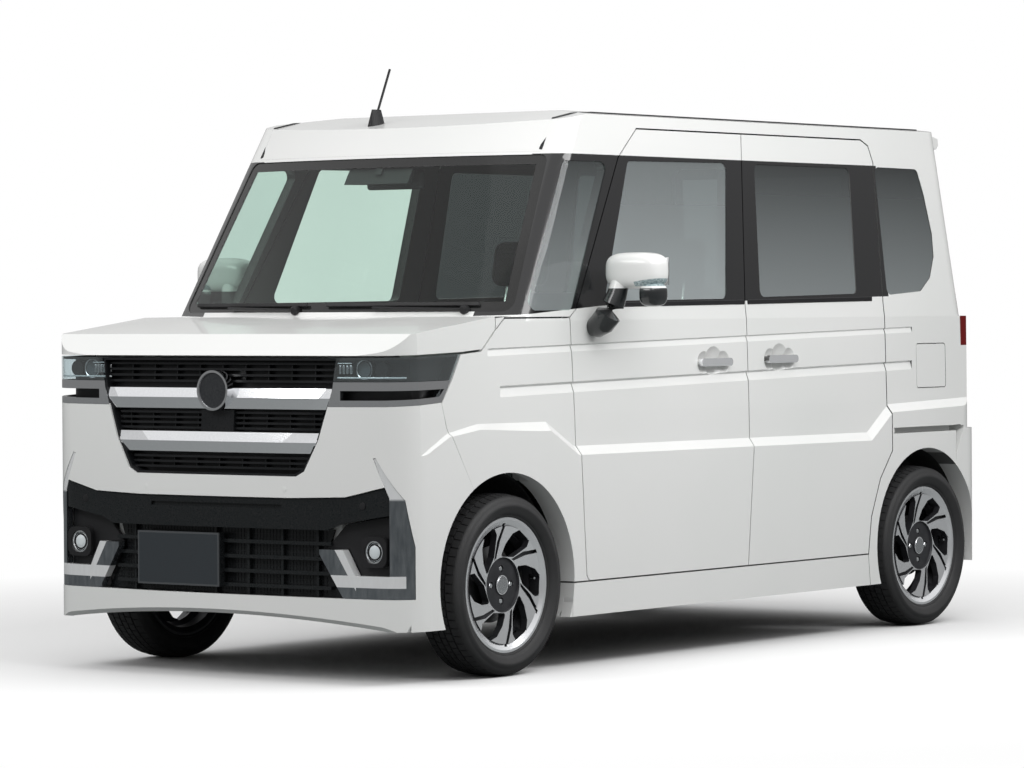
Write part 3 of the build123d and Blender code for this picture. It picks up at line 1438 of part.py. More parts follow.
# Under the bonnet and the floor: engine, radiator, tank, exhaust
ENGINE_X = (-320.0, 260.0)
with BuildPart() as engine:
    add(block(ENGINE_X, (-1420, -1040), (330, 820)))
    add(block((-RAIL_BEAM_X + SEAT_GAP, ENGINE_X[0] + 5), (-1300, -1200), (445, 505)))
    add(block((ENGINE_X[1] - 5, RAIL_BEAM_X - SEAT_GAP), (-1300, -1200), (445, 505)))
keep("engine", engine.part)
with BuildPart() as radiator:
    add(block((-RAIL_BEAM_X + SEAT_GAP, RAIL_BEAM_X - SEAT_GAP), (SUPPORT_Y + 2, SUPPORT_Y + 42), (270, 700)))
keep("radiator", radiator.part)
with BuildPart() as fuel_tank:
    add(block((-330, 250), (250, 740), (190, FLOOR_TOP_Z - FLOOR_SHEET - SEAT_GAP)))
    fillet(fuel_tank.edges().filter_by(Axis.Z), 40)
keep("fuel_tank", fuel_tank.part)

TAILPIPE_Y = (1420.0, 1640.0)
TAILPIPE_RADIUS = 20.0
SILENCER_Y = (1430.0, 1590.0)
with BuildPart() as exhaust:
    with BuildSketch(Plane.XZ.offset(-TAILPIPE_Y[1])):
        with Locations((330, 178)):
            Circle(TAILPIPE_RADIUS)
    extrude(amount=TAILPIPE_Y[1] - TAILPIPE_Y[0])
    with BuildSketch(Plane.XZ.offset(-SILENCER_Y[1])):
        with Locations((300, 240)):
            Ellipse(140, 70)
    extrude(amount=SILENCER_Y[1] - SILENCER_Y[0])
    add(block((290, 310), (1440, 1470), (300, REAR_FLOOR_Z - FLOOR_SHEET - SEAT_GAP)))
keep("exhaust", exhaust.part)

# Roof antenna
ANTENNA_BASE = (-150.0, -690.0)
ANTENNA_RAKE = 25.0
MAST_RADIUS = 4.0
MAST_LENGTH = 170.0
with BuildPart() as antenna:
    with BuildSketch(Plane.XY.offset(1720)):
        with Locations(ANTENNA_BASE):
            Ellipse(22, 40)
    extrude(amount=60, taper=14)
    mast = Plane(
        origin=(*ANTENNA_BASE, 1760),
        x_dir=(1, 0, 0),
        z_dir=(0, sin(radians(ANTENNA_RAKE)), cos(radians(ANTENNA_RAKE))),
    )
    with BuildSketch(mast):
        Circle(MAST_RADIUS)
    extrude(amount=MAST_LENGTH)
    add(outer_body.part, mode=Mode.SUBTRACT)
keep("antenna", antenna.part)
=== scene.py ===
"""Looks of a small box-shaped family van, built round its packed construction model."""

from __future__ import annotations

import logging
import math
from dataclasses import dataclass, field
from enum import Enum
from typing import Sequence

import bmesh
import bpy
from mathutils import Matrix, Vector
from mathutils.bvhtree import BVHTree


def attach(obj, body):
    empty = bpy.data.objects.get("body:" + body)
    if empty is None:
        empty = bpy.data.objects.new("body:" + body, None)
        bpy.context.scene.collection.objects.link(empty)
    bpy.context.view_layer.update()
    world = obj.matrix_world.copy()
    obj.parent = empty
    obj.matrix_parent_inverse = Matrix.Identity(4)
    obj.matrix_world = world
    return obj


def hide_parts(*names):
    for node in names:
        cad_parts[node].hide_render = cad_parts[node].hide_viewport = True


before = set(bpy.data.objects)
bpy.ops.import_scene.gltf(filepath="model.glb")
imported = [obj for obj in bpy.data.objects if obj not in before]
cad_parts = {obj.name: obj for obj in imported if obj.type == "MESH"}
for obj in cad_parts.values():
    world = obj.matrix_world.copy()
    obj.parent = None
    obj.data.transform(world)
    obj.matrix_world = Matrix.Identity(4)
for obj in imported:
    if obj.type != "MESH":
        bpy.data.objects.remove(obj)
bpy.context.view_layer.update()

LOG = logging.getLogger("van")

TRACK_X = 0.6475
AXLE_Y = {"front": -1.1485, "rear": 1.3115}
AXLE_Z = 0.281
NOISE_ENDS = (0.3, 0.7)
COAT = (0.6, 0.04)

Point = tuple[float, float, float]
Colour = tuple[float, float, float]
Slab = tuple[Point, Point, float]
Socket = bpy.types.NodeSocket


class Mirrored(Enum):
    """The two sides of the car, with the sign of X on each."""

    LEFT = 1
    RIGHT = -1


class Corner(Enum):
    """The four wheels: their body's ending and the sign of X."""

    FRONT_LEFT = ("front_left", 1)
    FRONT_RIGHT = ("front_right", -1)
    REAR_LEFT = ("rear_left", 1)
    REAR_RIGHT = ("rear_right", -1)


class Graph:
    """A material's node tree, with short calls for the nodes that the finishes share."""

    def __init__(self, name: str) -> None:
        """Starts an empty material.

        Args:
            name: The material's name.
        """
        self.material = bpy.data.materials.new(name)
        self.material.use_nodes = True
        self.tree = self.material.node_tree
        self.tree.nodes.clear()
        self.output = self.tree.nodes.new("ShaderNodeOutputMaterial")
        self.coords = self.tree.nodes.new("ShaderNodeTexCoord")

    @property
    def place(self) -> Socket:
        """The point in the piece's own frame, in metres."""
        return self.coords.outputs["Object"]

    @property
    def facing(self) -> Socket:
        """The surface's direction in the piece's own frame."""
        return self.coords.outputs["Normal"]

    def feed(self, socket: Socket, value: object) -> None:
        """Links a socket, or sets its constant.

        Args:
            socket: The input that is fed.
            value: Another node's output, a number or a tuple.
        """
        if isinstance(value, bpy.types.NodeSocket):
            self.tree.links.new(value, socket)
        elif isinstance(value, tuple) and len(value) == 3 and socket.type == "RGBA":
            socket.default_value = (*value, 1.0)
        else:
            socket.default_value = value

    def add(self, kind: str, **values: object) -> bpy.types.Node:
        """Adds a node and feeds its inputs.

        Args:
            kind: The node's type.
            values: Input names, with underscores for spaces, and what feeds them.

        Returns:
            The new node.
        """
        node = self.tree.nodes.new(kind)
        for name, value in values.items():
            self.feed(node.inputs[name.replace("_", " ")], value)
        return node

    def maths(self, kind: str, first: object, second: object = 0.0, third: object = 0.0) -> Socket:
        """One sum on numbers.

        Args:
            kind: The operation.
            first: The first number.
            second: The second number.
            third: The third number, where the operation has one.

        Returns:
            The result.
        """
        node = self.tree.nodes.new("ShaderNodeMath")
        node.operation = kind
        for socket, value in zip(node.inputs, (first, second, third)):
            self.feed(socket, value)
        return node.outputs[0]

    def above(self, value: object, level: object, soft: float = 0.0008) -> Socket:
        """A mask that is 1 where a value is over a level.

        Args:
            value: The value that is tested.
            level: The level, a number or an output.
            soft: The half width of the edge.

        Returns:
            The mask.
        """
        return self.ranged(self.maths("SUBTRACT", value, level), (-soft, soft), (0.0, 1.0))

    def ranged(self, value: Socket, source: tuple[float, float], target: tuple[object, object]) -> Socket:
        """Moves a value from one range to another and holds it there.

        Args:
            value: The value.
            source: The low and high end that it comes from.
            target: What those ends become, numbers or outputs.

        Returns:
            The moved value.
        """
        node = self.add("ShaderNodeMapRange", Value=value)
        for name, number in zip(("From Min", "From Max", "To Min", "To Max"), (*source, *target)):
            self.feed(node.inputs[name], number)
        return node.outputs["Result"]

    def distance(self, first: Socket, second: Socket) -> Socket:
        """How far from zero a pair of numbers lies, taken as a flat vector."""
        return self.maths("SQRT", self.maths("MULTIPLY_ADD", first, first, self.both(second, second)))

    def vectors(self, kind: str, first: object, second: object = (0.0, 0.0, 0.0)) -> bpy.types.Node:
        """One sum on vectors.

        Args:
            kind: The operation.
            first: The first vector.
            second: The second vector, where the operation has one.

        Returns:
            The node, because some results are vectors and some are numbers.
        """
        node = self.tree.nodes.new("ShaderNodeVectorMath")
        node.operation = kind
        self.feed(node.inputs[0], first)
        self.feed(node.inputs[1], second)
        return node

    def both(self, first: object, second: object) -> Socket:
        """The product of two masks."""
        return self.maths("MULTIPLY", first, second)

    def axes(self, vector: Socket | None = None) -> tuple[Socket, Socket, Socket]:
        """The three numbers of a vector.

        Args:
            vector: The vector, or None for the point on the piece.

        Returns:
            Its X, Y and Z.
        """
        node = self.add("ShaderNodeSeparateXYZ", Vector=vector or self.place)
        return node.outputs[0], node.outputs[1], node.outputs[2]

    def noise(self, scale: float, detail: float = 3.0, stretch: Point = (1.0, 1.0, 1.0)) -> Socket:
        """Smooth noise over the piece.

        Args:
            scale: Waves to a metre, about.
            detail: How many finer layers it has.
            stretch: How the pattern is scaled along each axis.

        Returns:
            The noise, about 0.5.
        """
        mapping = self.add("ShaderNodeMapping", Vector=self.place, Scale=stretch)
        node = self.add("ShaderNodeTexNoise", Vector=mapping.outputs[0], Scale=scale, Detail=detail)
        return node.outputs["Fac"]

    def spread(self, value: Socket, low: object, high: object) -> Socket:
        """Moves noise, which lies mostly between NOISE_ENDS, to a range of its own.

        Args:
            value: The value, such as noise.
            low: What its low end becomes.
            high: What its high end becomes.

        Returns:
            The moved value.
        """
        return self.ranged(value, NOISE_ENDS, (low, high))

    def blend(self, mask: object, first: object, second: object) -> Socket:
        """Mixes two colours.

        Args:
            mask: Where the second shows.
            first: The first colour.
            second: The second colour.

        Returns:
            The mixed colour.
        """
        node = self.tree.nodes.new("ShaderNodeMix")
        node.data_type = "RGBA"
        self.feed(node.inputs[0], mask)
        self.feed(node.inputs[6], first)
        self.feed(node.inputs[7], second)
        return node.outputs[2]

    def mixed(self, mask: object, first: object, second: object) -> Socket:
        """Mixes two numbers.

        Args:
            mask: Where the second shows.
            first: The first number.
            second: The second number.

        Returns:
            The mixed number.
        """
        node = self.tree.nodes.new("ShaderNodeMix")
        node.data_type = "FLOAT"
        self.feed(node.inputs[0], mask)
        self.feed(node.inputs[2], first)
        self.feed(node.inputs[3], second)
        return node.outputs[0]

    def bump(self, height: Socket, strength: float, distance: float) -> Socket:
        """A surface direction that follows a height.

        Args:
            height: The height, from 0 to 1.
            strength: How much of it shows.
            distance: How high 1 is, in metres.

        Returns:
            The direction.
        """
        node = self.add("ShaderNodeBump", Height=height, Strength=strength, Distance=distance)
        return node.outputs["Normal"]

    def coat(self, shader: bpy.types.Node, weight: float, roughness: float) -> None:
        """Lays clear coat of one weight and roughness over a shader."""
        shader.inputs["Coat Weight"].default_value = weight
        shader.inputs["Coat Roughness"].default_value = roughness

    def surface(self, **values: object) -> bpy.types.Node:
        """The main shader, joined to the output.

        Args:
            values: The shader's inputs, with underscores for spaces.

        Returns:
            The shader's node.
        """
        shader = self.add("ShaderNodeBsdfPrincipled", **values)
        self.tree.links.new(shader.outputs[0], self.output.inputs["Surface"])
        return shader


@dataclass(frozen=True)
class Paint:
    """Pearl paint under clear coat, with the lining dark on faces that look into the cabin."""

    name: str
    colour: Colour = (0.80, 0.81, 0.795)
    pearl: Colour = (0.84, 0.84, 0.83)
    lining: Colour = (0.10, 0.10, 0.10)
    roughness: float = 0.34
    centre: Point = (0.0, 0.25, 1.0)
    lined: bool = True
    band: bool = False
    band_black: Colour = (0.012, 0.012, 0.013)
    band_belts: tuple[tuple[float, float], ...] = ((0.062, 1.1745), (0.0138, 1.1455))
    band_top: float = 1.6165
    band_end: float = 1.1
    band_x: float = 0.55
    handle_x: float = 0.0
    handle_z: tuple[float, float] = (0.93, 0.975)
    handle_bright: Colour = (0.86, 0.87, 0.89)

    def dark_band(self, graph: Graph) -> Socket:
        """Where the pillars between the windows are black.

        Args:
            graph: The tree that the nodes go into.

        Returns:
            The mask.
        """
        side, along, up = graph.axes()
        front_belt, rear_belt = (graph.maths("MULTIPLY_ADD", along, *line) for line in self.band_belts)
        mask = graph.above(up, graph.maths("MINIMUM", front_belt, rear_belt))
        mask = graph.both(mask, graph.above(self.band_top, up))
        mask = graph.both(mask, graph.above(self.band_end, along))
        wide = graph.above(graph.maths("ABSOLUTE", side), self.band_x)
        return graph.both(mask, wide)

    def build(self) -> bpy.types.Material:
        """Makes the material."""
        graph = Graph(self.name)
        cloud = graph.spread(graph.noise(1.3, 2.0), 0.0, 1.0)
        colour = graph.blend(cloud, self.colour, self.pearl)
        rough = graph.spread(graph.noise(6.0, 1.0), self.roughness - 0.03, self.roughness + 0.03)
        if self.band:
            mask = self.dark_band(graph)
            colour = graph.blend(mask, colour, self.band_black)
            rough = graph.mixed(mask, rough, 0.14)
        metal = 0.0
        if self.handle_x:
            side, _, up = graph.axes()
            wide = graph.above(graph.maths("ABSOLUTE", side), self.handle_x)
            metal = graph.both(wide, graph.above(up, self.handle_z[0]))
            metal = graph.both(metal, graph.above(self.handle_z[1], up))
            colour = graph.blend(metal, colour, self.handle_bright)
            rough = graph.mixed(metal, rough, 0.16)
            metal = graph.both(metal, 0.6)
        if self.lined:
            offset = graph.vectors("SUBTRACT", graph.place, self.centre)
            dot = graph.vectors("DOT_PRODUCT", graph.facing, offset.outputs[0])
            inner = graph.above(-0.02, dot.outputs["Value"], 0.02)
            grain = graph.spread(graph.noise(700.0), 0.75, 1.25)
            lining = graph.blend(graph.both(grain, 0.4), self.lining, (0.16, 0.16, 0.155))
            colour = graph.blend(inner, colour, lining)
            rough = graph.mixed(inner, rough, 0.75)
        shader = graph.surface(Base_Color=colour, Roughness=rough, Metallic=metal)
        graph.coat(shader, *COAT)
        return graph.material


@dataclass(frozen=True)
class Moulding:
    """Moulded plastic or rubber with a fine grain."""

    name: str
    colour: Colour
    worn: Colour
    roughness: float = 0.5
    grain_scale: float = 900.0
    grain_depth: float = 0.00012
    coat: float = 0.0
    specular: float = 0.5

    def build(self) -> bpy.types.Material:
        """Makes the material."""
        graph = Graph(self.name)
        grain = graph.noise(self.grain_scale, 3.0)
        patch = graph.spread(graph.noise(9.0), 0.0, 0.6)
        colour = graph.blend(patch, self.colour, self.worn)
        rough = graph.spread(grain, self.roughness - 0.06, self.roughness + 0.08)
        normal = graph.bump(grain, 0.35, self.grain_depth)
        shader = graph.surface(Base_Color=colour, Roughness=rough, Normal=normal)
        shader.inputs["Specular IOR Level"].default_value = self.specular
        graph.coat(shader, self.coat, 0.05)
        return graph.material


@dataclass(frozen=True)
class MirrorShell:
    """A white shell over a black foot, with a turn lamp's lens along the outer corner, streaked with painted
    highlights.
    """

    name: str
    white: Colour = (0.80, 0.81, 0.795)
    black: Colour = (0.012, 0.014, 0.015)
    lens: Colour = (0.10, 0.16, 0.17)
    shell_z: float = 1.190
    lens_x: float = 0.872
    lens_foot: float = 1.196
    lens_rim: tuple[float, float] = (0.14, 1.088)
    lens_end: float = -0.60

    def build(self) -> bpy.types.Material:
        """Makes the material."""
        graph = Graph(self.name)
        side, along, up = graph.axes()
        shell = graph.above(up, self.shell_z)
        cloud = graph.spread(graph.noise(4.0, 2.0), 0.0, 1.0)
        paint = graph.blend(cloud, self.white, (0.83, 0.83, 0.82))
        foot = graph.blend(cloud, self.black, (0.020, 0.022, 0.023))
        colour = graph.blend(shell, foot, paint)
        wide = graph.maths("ABSOLUTE", side)
        rim = graph.maths("MULTIPLY_ADD", wide, *self.lens_rim)
        lens = graph.both(graph.above(wide, self.lens_x), graph.above(rim, up))
        lens = graph.both(lens, graph.above(up, self.lens_foot))
        lens = graph.both(lens, graph.above(self.lens_end, along))
        # The pale streaks on the turn lamp's lens are painted highlights over its own dark grey-teal colour.
        highlight_streak = graph.spread(graph.noise(120.0, 1.0, (1.0, 1.0, 5.0)), 0.0, 1.0)
        lens_with_painted_highlights = graph.blend(highlight_streak, self.lens, (0.55, 0.66, 0.68))
        colour = graph.blend(lens, colour, lens_with_painted_highlights)
        rough = graph.mixed(shell, 0.20, 0.30)
        peel = graph.bump(graph.noise(30.0, 0.0), 0.04, 0.0004)
        shader = graph.surface(Base_Color=colour, Roughness=graph.mixed(lens, rough, 0.06), Normal=peel)
        graph.coat(shader, *COAT)
        return graph.material


@dataclass(frozen=True)
class Plated:
    """Bright plating, with the round badge's plain floor dark."""

    name: str
    colour: Colour = (0.90, 0.91, 0.93)
    floor: Colour = (0.03, 0.032, 0.036)
    badge_z: float = 0.884
    badge_radius: float = 0.0548

    def build(self) -> bpy.types.Material:
        """Makes the material."""
        graph = Graph(self.name)
        side, _, up = graph.axes()
        rise = graph.maths("SUBTRACT", up, self.badge_z)
        away = graph.distance(side, rise)
        mask = graph.above(self.badge_radius, away)
        streak = graph.noise(160.0, 4.0)
        bright = graph.blend(graph.spread(streak, 0.0, 0.5), self.colour, (0.82, 0.83, 0.85))
        floor = graph.blend(graph.spread(streak, 0.0, 1.0), self.floor, (0.045, 0.047, 0.05))
        colour = graph.blend(mask, bright, floor)
        rough = graph.mixed(mask, graph.spread(streak, 0.06, 0.12), 0.22)
        shader = graph.surface(Base_Color=colour, Roughness=rough)
        graph.feed(shader.inputs["Metallic"], graph.mixed(mask, 1.0, 0.2))
        graph.feed(shader.inputs["Normal"], graph.bump(streak, 0.2, 0.00003))
        return graph.material


@dataclass(frozen=True)
class TrimFacets:
    """Plating on the bumper's corner trims, painted bright above and dark below: painted reflections of
    facets that the mesh doesn't have.
    """

    name: str
    bright: Colour = (0.93, 0.94, 0.95)
    smoky: Colour = (0.22, 0.24, 0.26)
    split_z: float = 0.560
    step_z: tuple[float, float] = (0.296, 0.332)
    step_x: float = 0.690
    wing_line: tuple[float, float] = (-0.62, 0.712)
    wing_x: float = 0.535

    def build(self) -> bpy.types.Material:
        """Makes the material."""
        graph = Graph(self.name)
        side, _, up = graph.axes()
        wide = graph.maths("ABSOLUTE", side)
        # Masks of the regions painted with a bright reflection; the rest of the trim is painted with a dark
        # reflection.
        top = graph.above(up, self.split_z, 0.004)
        step = graph.both(graph.above(up, self.step_z[0]), graph.above(self.step_z[1], up))
        step = graph.both(step, graph.above(self.step_x, wide))
        slant = graph.maths("MULTIPLY_ADD", up, *self.wing_line)
        wing = graph.both(graph.above(wide, slant), graph.above(self.wing_x, wide))
        mask = graph.maths("MAXIMUM", graph.maths("MAXIMUM", top, step), wing)
        streak = graph.noise(90.0, 3.0, (1.0, 1.0, 0.2))
        smoky = graph.blend(graph.spread(streak, 0.0, 1.0), self.smoky, (0.34, 0.36, 0.38))
        bright = graph.blend(graph.spread(streak, 0.0, 0.4), self.bright, (0.8, 0.8, 0.8))
        # Painted reflections: dark where a facet would face away from the light, bright where it would catch
        # it.
        colour = graph.blend(mask, smoky, bright)
        shader = graph.surface(Base_Color=colour, Roughness=graph.spread(streak, 0.10, 0.18))
        graph.feed(shader.inputs["Metallic"], graph.mixed(mask, 0.9, 0.35))
        graph.feed(shader.inputs["Normal"], graph.bump(streak, 0.15, 0.00004))
        return graph.material


@dataclass(frozen=True)
class PlateGrille:
    """Black grille mouldings, with the blank plate in front of them slate grey."""

    name: str
    black: Colour = (0.006, 0.009, 0.010)
    slate: Colour = (0.030, 0.036, 0.042)
    plate: tuple[float, float] = (-0.1436, 0.3656)
    half: tuple[float, float] = (0.1652, 0.0827)
    front_y: float = -1.6915

    def build(self) -> bpy.types.Material:
        """Makes the material."""
        graph = Graph(self.name)
        side, along, up = graph.axes()
        mask = graph.above(self.front_y, along)
        inside = mask
        for value, centre, half in zip((side, up), self.plate, self.half):
            away = graph.maths("ABSOLUTE", graph.maths("SUBTRACT", value, centre))
            mask = graph.both(mask, graph.above(half, away))
            inside = graph.both(inside, graph.above(half - 0.006, away))
        grain = graph.noise(300.0, 3.0)
        black = graph.blend(graph.spread(grain, 0.0, 1.0), self.black, (0.022, 0.022, 0.023))
        slate = graph.blend(graph.spread(grain, 0.0, 1.0), self.slate, (0.040, 0.046, 0.052))
        slate = graph.blend(inside, (0.075, 0.080, 0.085), slate)
        colour = graph.blend(mask, black, slate)
        rough = graph.mixed(mask, graph.spread(grain, 0.14, 0.22), 0.38)
        shader = graph.surface(Base_Color=colour, Roughness=rough, Normal=graph.bump(grain, 0.3, 0.00003))
        shader.inputs["Specular IOR Level"].default_value = 0.3
        return graph.material


@dataclass(frozen=True)
class Metal:
    """Bare or plated metal, with fine brushing along one axis."""

    name: str
    colour: Colour
    dull: Colour
    roughness: float = 0.15
    brushed: Point = (1.0, 1.0, 1.0)
    scale: float = 160.0
    depth: float = 0.00004
    metallic: float = 1.0

    def build(self) -> bpy.types.Material:
        """Makes the material."""
        graph = Graph(self.name)
        streak = graph.noise(self.scale, 4.0, self.brushed)
        colour = graph.blend(graph.spread(streak, 0.0, 0.5), self.colour, self.dull)
        rough = graph.spread(streak, self.roughness, self.roughness + 0.10)
        normal = graph.bump(streak, 0.25, self.depth)
        shader = graph.surface(Base_Color=colour, Roughness=rough, Normal=normal)
        shader.inputs["Metallic"].default_value = self.metallic
        return graph.material


@dataclass(frozen=True)
class PrintedEdge:
    """The black print round a pane that narrows upwards."""

    slope: float
    half_width: float
    top: float
    foot: float

    def mask(self, graph: Graph) -> Socket:
        """Where the print is.

        Args:
            graph: The tree that the nodes go into.

        Returns:
            The mask.
        """
        side, _, up = graph.axes()
        half = graph.maths("MULTIPLY_ADD", up, self.slope, self.half_width)
        sides = graph.above(graph.maths("ABSOLUTE", side), half)
        ends = graph.maths("MAXIMUM", graph.above(up, self.top), graph.above(self.foot, up))
        return graph.maths("MAXIMUM", sides, ends)


@dataclass(frozen=True)
class Pane:
    """Thin tinted glass: clear by its tint, with gloss on its outer faces, a painted pale reflection on its
    outer faces that is stronger towards the bottom, and a dark printed edge.
    """

    name: str
    tint: Colour
    gloss: float = 1.0
    index: float = 1.5
    edge: PrintedEdge | None = None
    # How much painted pale reflection lies on the outer faces, at the lower and the upper of the two heights
    # below.
    haze: tuple[float, float] = (0.0, 0.0)
    haze_z: tuple[float, float] = (1.15, 1.60)
    front_tint: Colour | None = None
    front_y: float = -0.45

    def build(self) -> bpy.types.Material:
        """Makes the material."""
        graph = Graph(self.name)
        film = graph.spread(graph.noise(2.0, 2.0), 0.0, 0.25)
        tint = graph.blend(film, self.tint, tuple(c * 0.93 for c in self.tint))
        if self.front_tint is not None:
            _, along, _ = graph.axes()
            tint = graph.blend(graph.above(self.front_y, along), tint, self.front_tint)
        clear = graph.add("ShaderNodeBsdfTransparent", Color=tint)
        shine = graph.add("ShaderNodeBsdfGlossy", Roughness=0.03)
        bend = graph.add("ShaderNodeFresnel", IOR=self.index)
        side = graph.tree.nodes.new("ShaderNodeNewGeometry")
        outer = graph.maths("SUBTRACT", 1.0, side.outputs["Backfacing"])
        share = graph.both(graph.both(bend.outputs[0], outer), self.gloss)
        mix = graph.add("ShaderNodeMixShader", Fac=share)
        graph.tree.links.new(clear.outputs[0], mix.inputs[1])
        graph.tree.links.new(shine.outputs[0], mix.inputs[2])
        last = mix
        # A pale diffuse layer on the outer faces that fades upwards: a painted reflection.
        if self.haze[0]:
            _, _, up = graph.axes()
            fade = graph.ranged(up, self.haze_z, self.haze)
            painted_reflection = graph.add("ShaderNodeBsdfDiffuse", Color=(0.55, 0.60, 0.61))
            across, _, _ = graph.axes()
            normal_x, _, _ = graph.axes(graph.facing)
            away = graph.above(graph.both(across, normal_x), 0.0, 0.02)
            last = graph.add("ShaderNodeMixShader", Fac=graph.both(fade, graph.both(outer, away)))
            graph.tree.links.new(mix.outputs[0], last.inputs[1])
            graph.tree.links.new(painted_reflection.outputs[0], last.inputs[2])
        if self.edge is not None:
            speck = graph.spread(graph.noise(600.0), 0.010, 0.022)
            print_colour = graph.add("ShaderNodeCombineColor", Red=speck, Green=speck, Blue=speck)
            printed = graph.add(
                "ShaderNodeBsdfPrincipled", Base_Color=print_colour.outputs[0], Roughness=0.12
            )
            whole = graph.add("ShaderNodeMixShader", Fac=self.edge.mask(graph))
            graph.tree.links.new(last.outputs[0], whole.inputs[1])
            graph.tree.links.new(printed.outputs[0], whole.inputs[2])
            last = whole
        graph.tree.links.new(last.outputs[0], graph.output.inputs["Surface"])
        return graph.material


@dataclass(frozen=True)
class Cloth:
    """Woven seat cloth with two crossing threads."""

    name: str
    colour: Colour
    thread: Colour
    pitch: float = 0.0016

    def build(self) -> bpy.types.Material:
        """Makes the material."""
        graph = Graph(self.name)
        weave = None
        for stretch in ((1.0, 0.0, 0.7), (0.0, 1.0, 0.7)):
            mapping = graph.add("ShaderNodeMapping", Vector=graph.place, Scale=stretch)
            wave = graph.add("ShaderNodeTexWave", Vector=mapping.outputs[0], Scale=1 / (self.pitch * 20))
            wave.bands_direction = "DIAGONAL"
            part = wave.outputs["Fac"]
            weave = part if weave is None else graph.maths("MAXIMUM", weave, part)
        fuzz = graph.noise(450.0)
        height = graph.maths("MULTIPLY_ADD", fuzz, 0.5, weave)
        patch = graph.spread(graph.noise(6.0), 0.0, 0.4)
        colour = graph.blend(graph.both(weave, 0.6), self.colour, self.thread)
        colour = graph.blend(patch, colour, self.colour)
        normal = graph.bump(height, 0.6, 0.0004)
        shader = graph.surface(Base_Color=colour, Normal=normal)
        shader.inputs["Roughness"].default_value = 0.9
        shader.inputs["Sheen Weight"].default_value = 0.3
        shader.inputs["Sheen Roughness"].default_value = 0.5
        return graph.material


@dataclass(frozen=True)
class WheelAlloy:
    """Alloy whose outer face is machined bright and whose pockets are dark paint."""

    name: str
    bright: Colour = (0.86, 0.87, 0.89)
    dark: Colour = (0.035, 0.036, 0.040)
    face_x: float = 0.6955
    cap_radius: float = 0.031

    def build(self) -> bpy.types.Material:
        """Makes the material."""
        graph = Graph(self.name)
        side, along, up = graph.axes()
        normal_x, _, _ = graph.axes(graph.facing)
        outward = graph.both(normal_x, graph.maths("SIGN", side))
        flat = graph.above(outward, 0.55, 0.03)
        wide = graph.maths("ABSOLUTE", side)
        rise = graph.maths("SUBTRACT", up, AXLE_Z)
        axle = graph.mixed(graph.above(along, 0.0), AXLE_Y["front"], AXLE_Y["rear"])
        reach = graph.maths("SUBTRACT", along, axle)
        away = graph.distance(reach, rise)
        cap = graph.both(graph.above(self.cap_radius, away), graph.above(wide, self.face_x - 0.003))
        near = graph.above(wide, self.face_x, 0.0006)
        mask = graph.both(flat, graph.maths("MAXIMUM", near, cap))
        streak = graph.noise(900.0, 2.0)
        bright = graph.blend(graph.spread(streak, 0.0, 0.35), self.bright, (0.70, 0.71, 0.73))
        patch = graph.blend(graph.spread(graph.noise(30.0), 0.0, 1.0), self.dark, (0.05, 0.05, 0.055))
        colour = graph.blend(mask, patch, bright)
        rough = graph.mixed(mask, 0.32, graph.spread(streak, 0.16, 0.26))
        shader = graph.surface(Base_Color=colour, Roughness=rough)
        graph.feed(shader.inputs["Metallic"], graph.mixed(mask, 0.4, 0.72))
        graph.feed(shader.inputs["Normal"], graph.bump(streak, 0.1, 0.00003))
        return graph.material


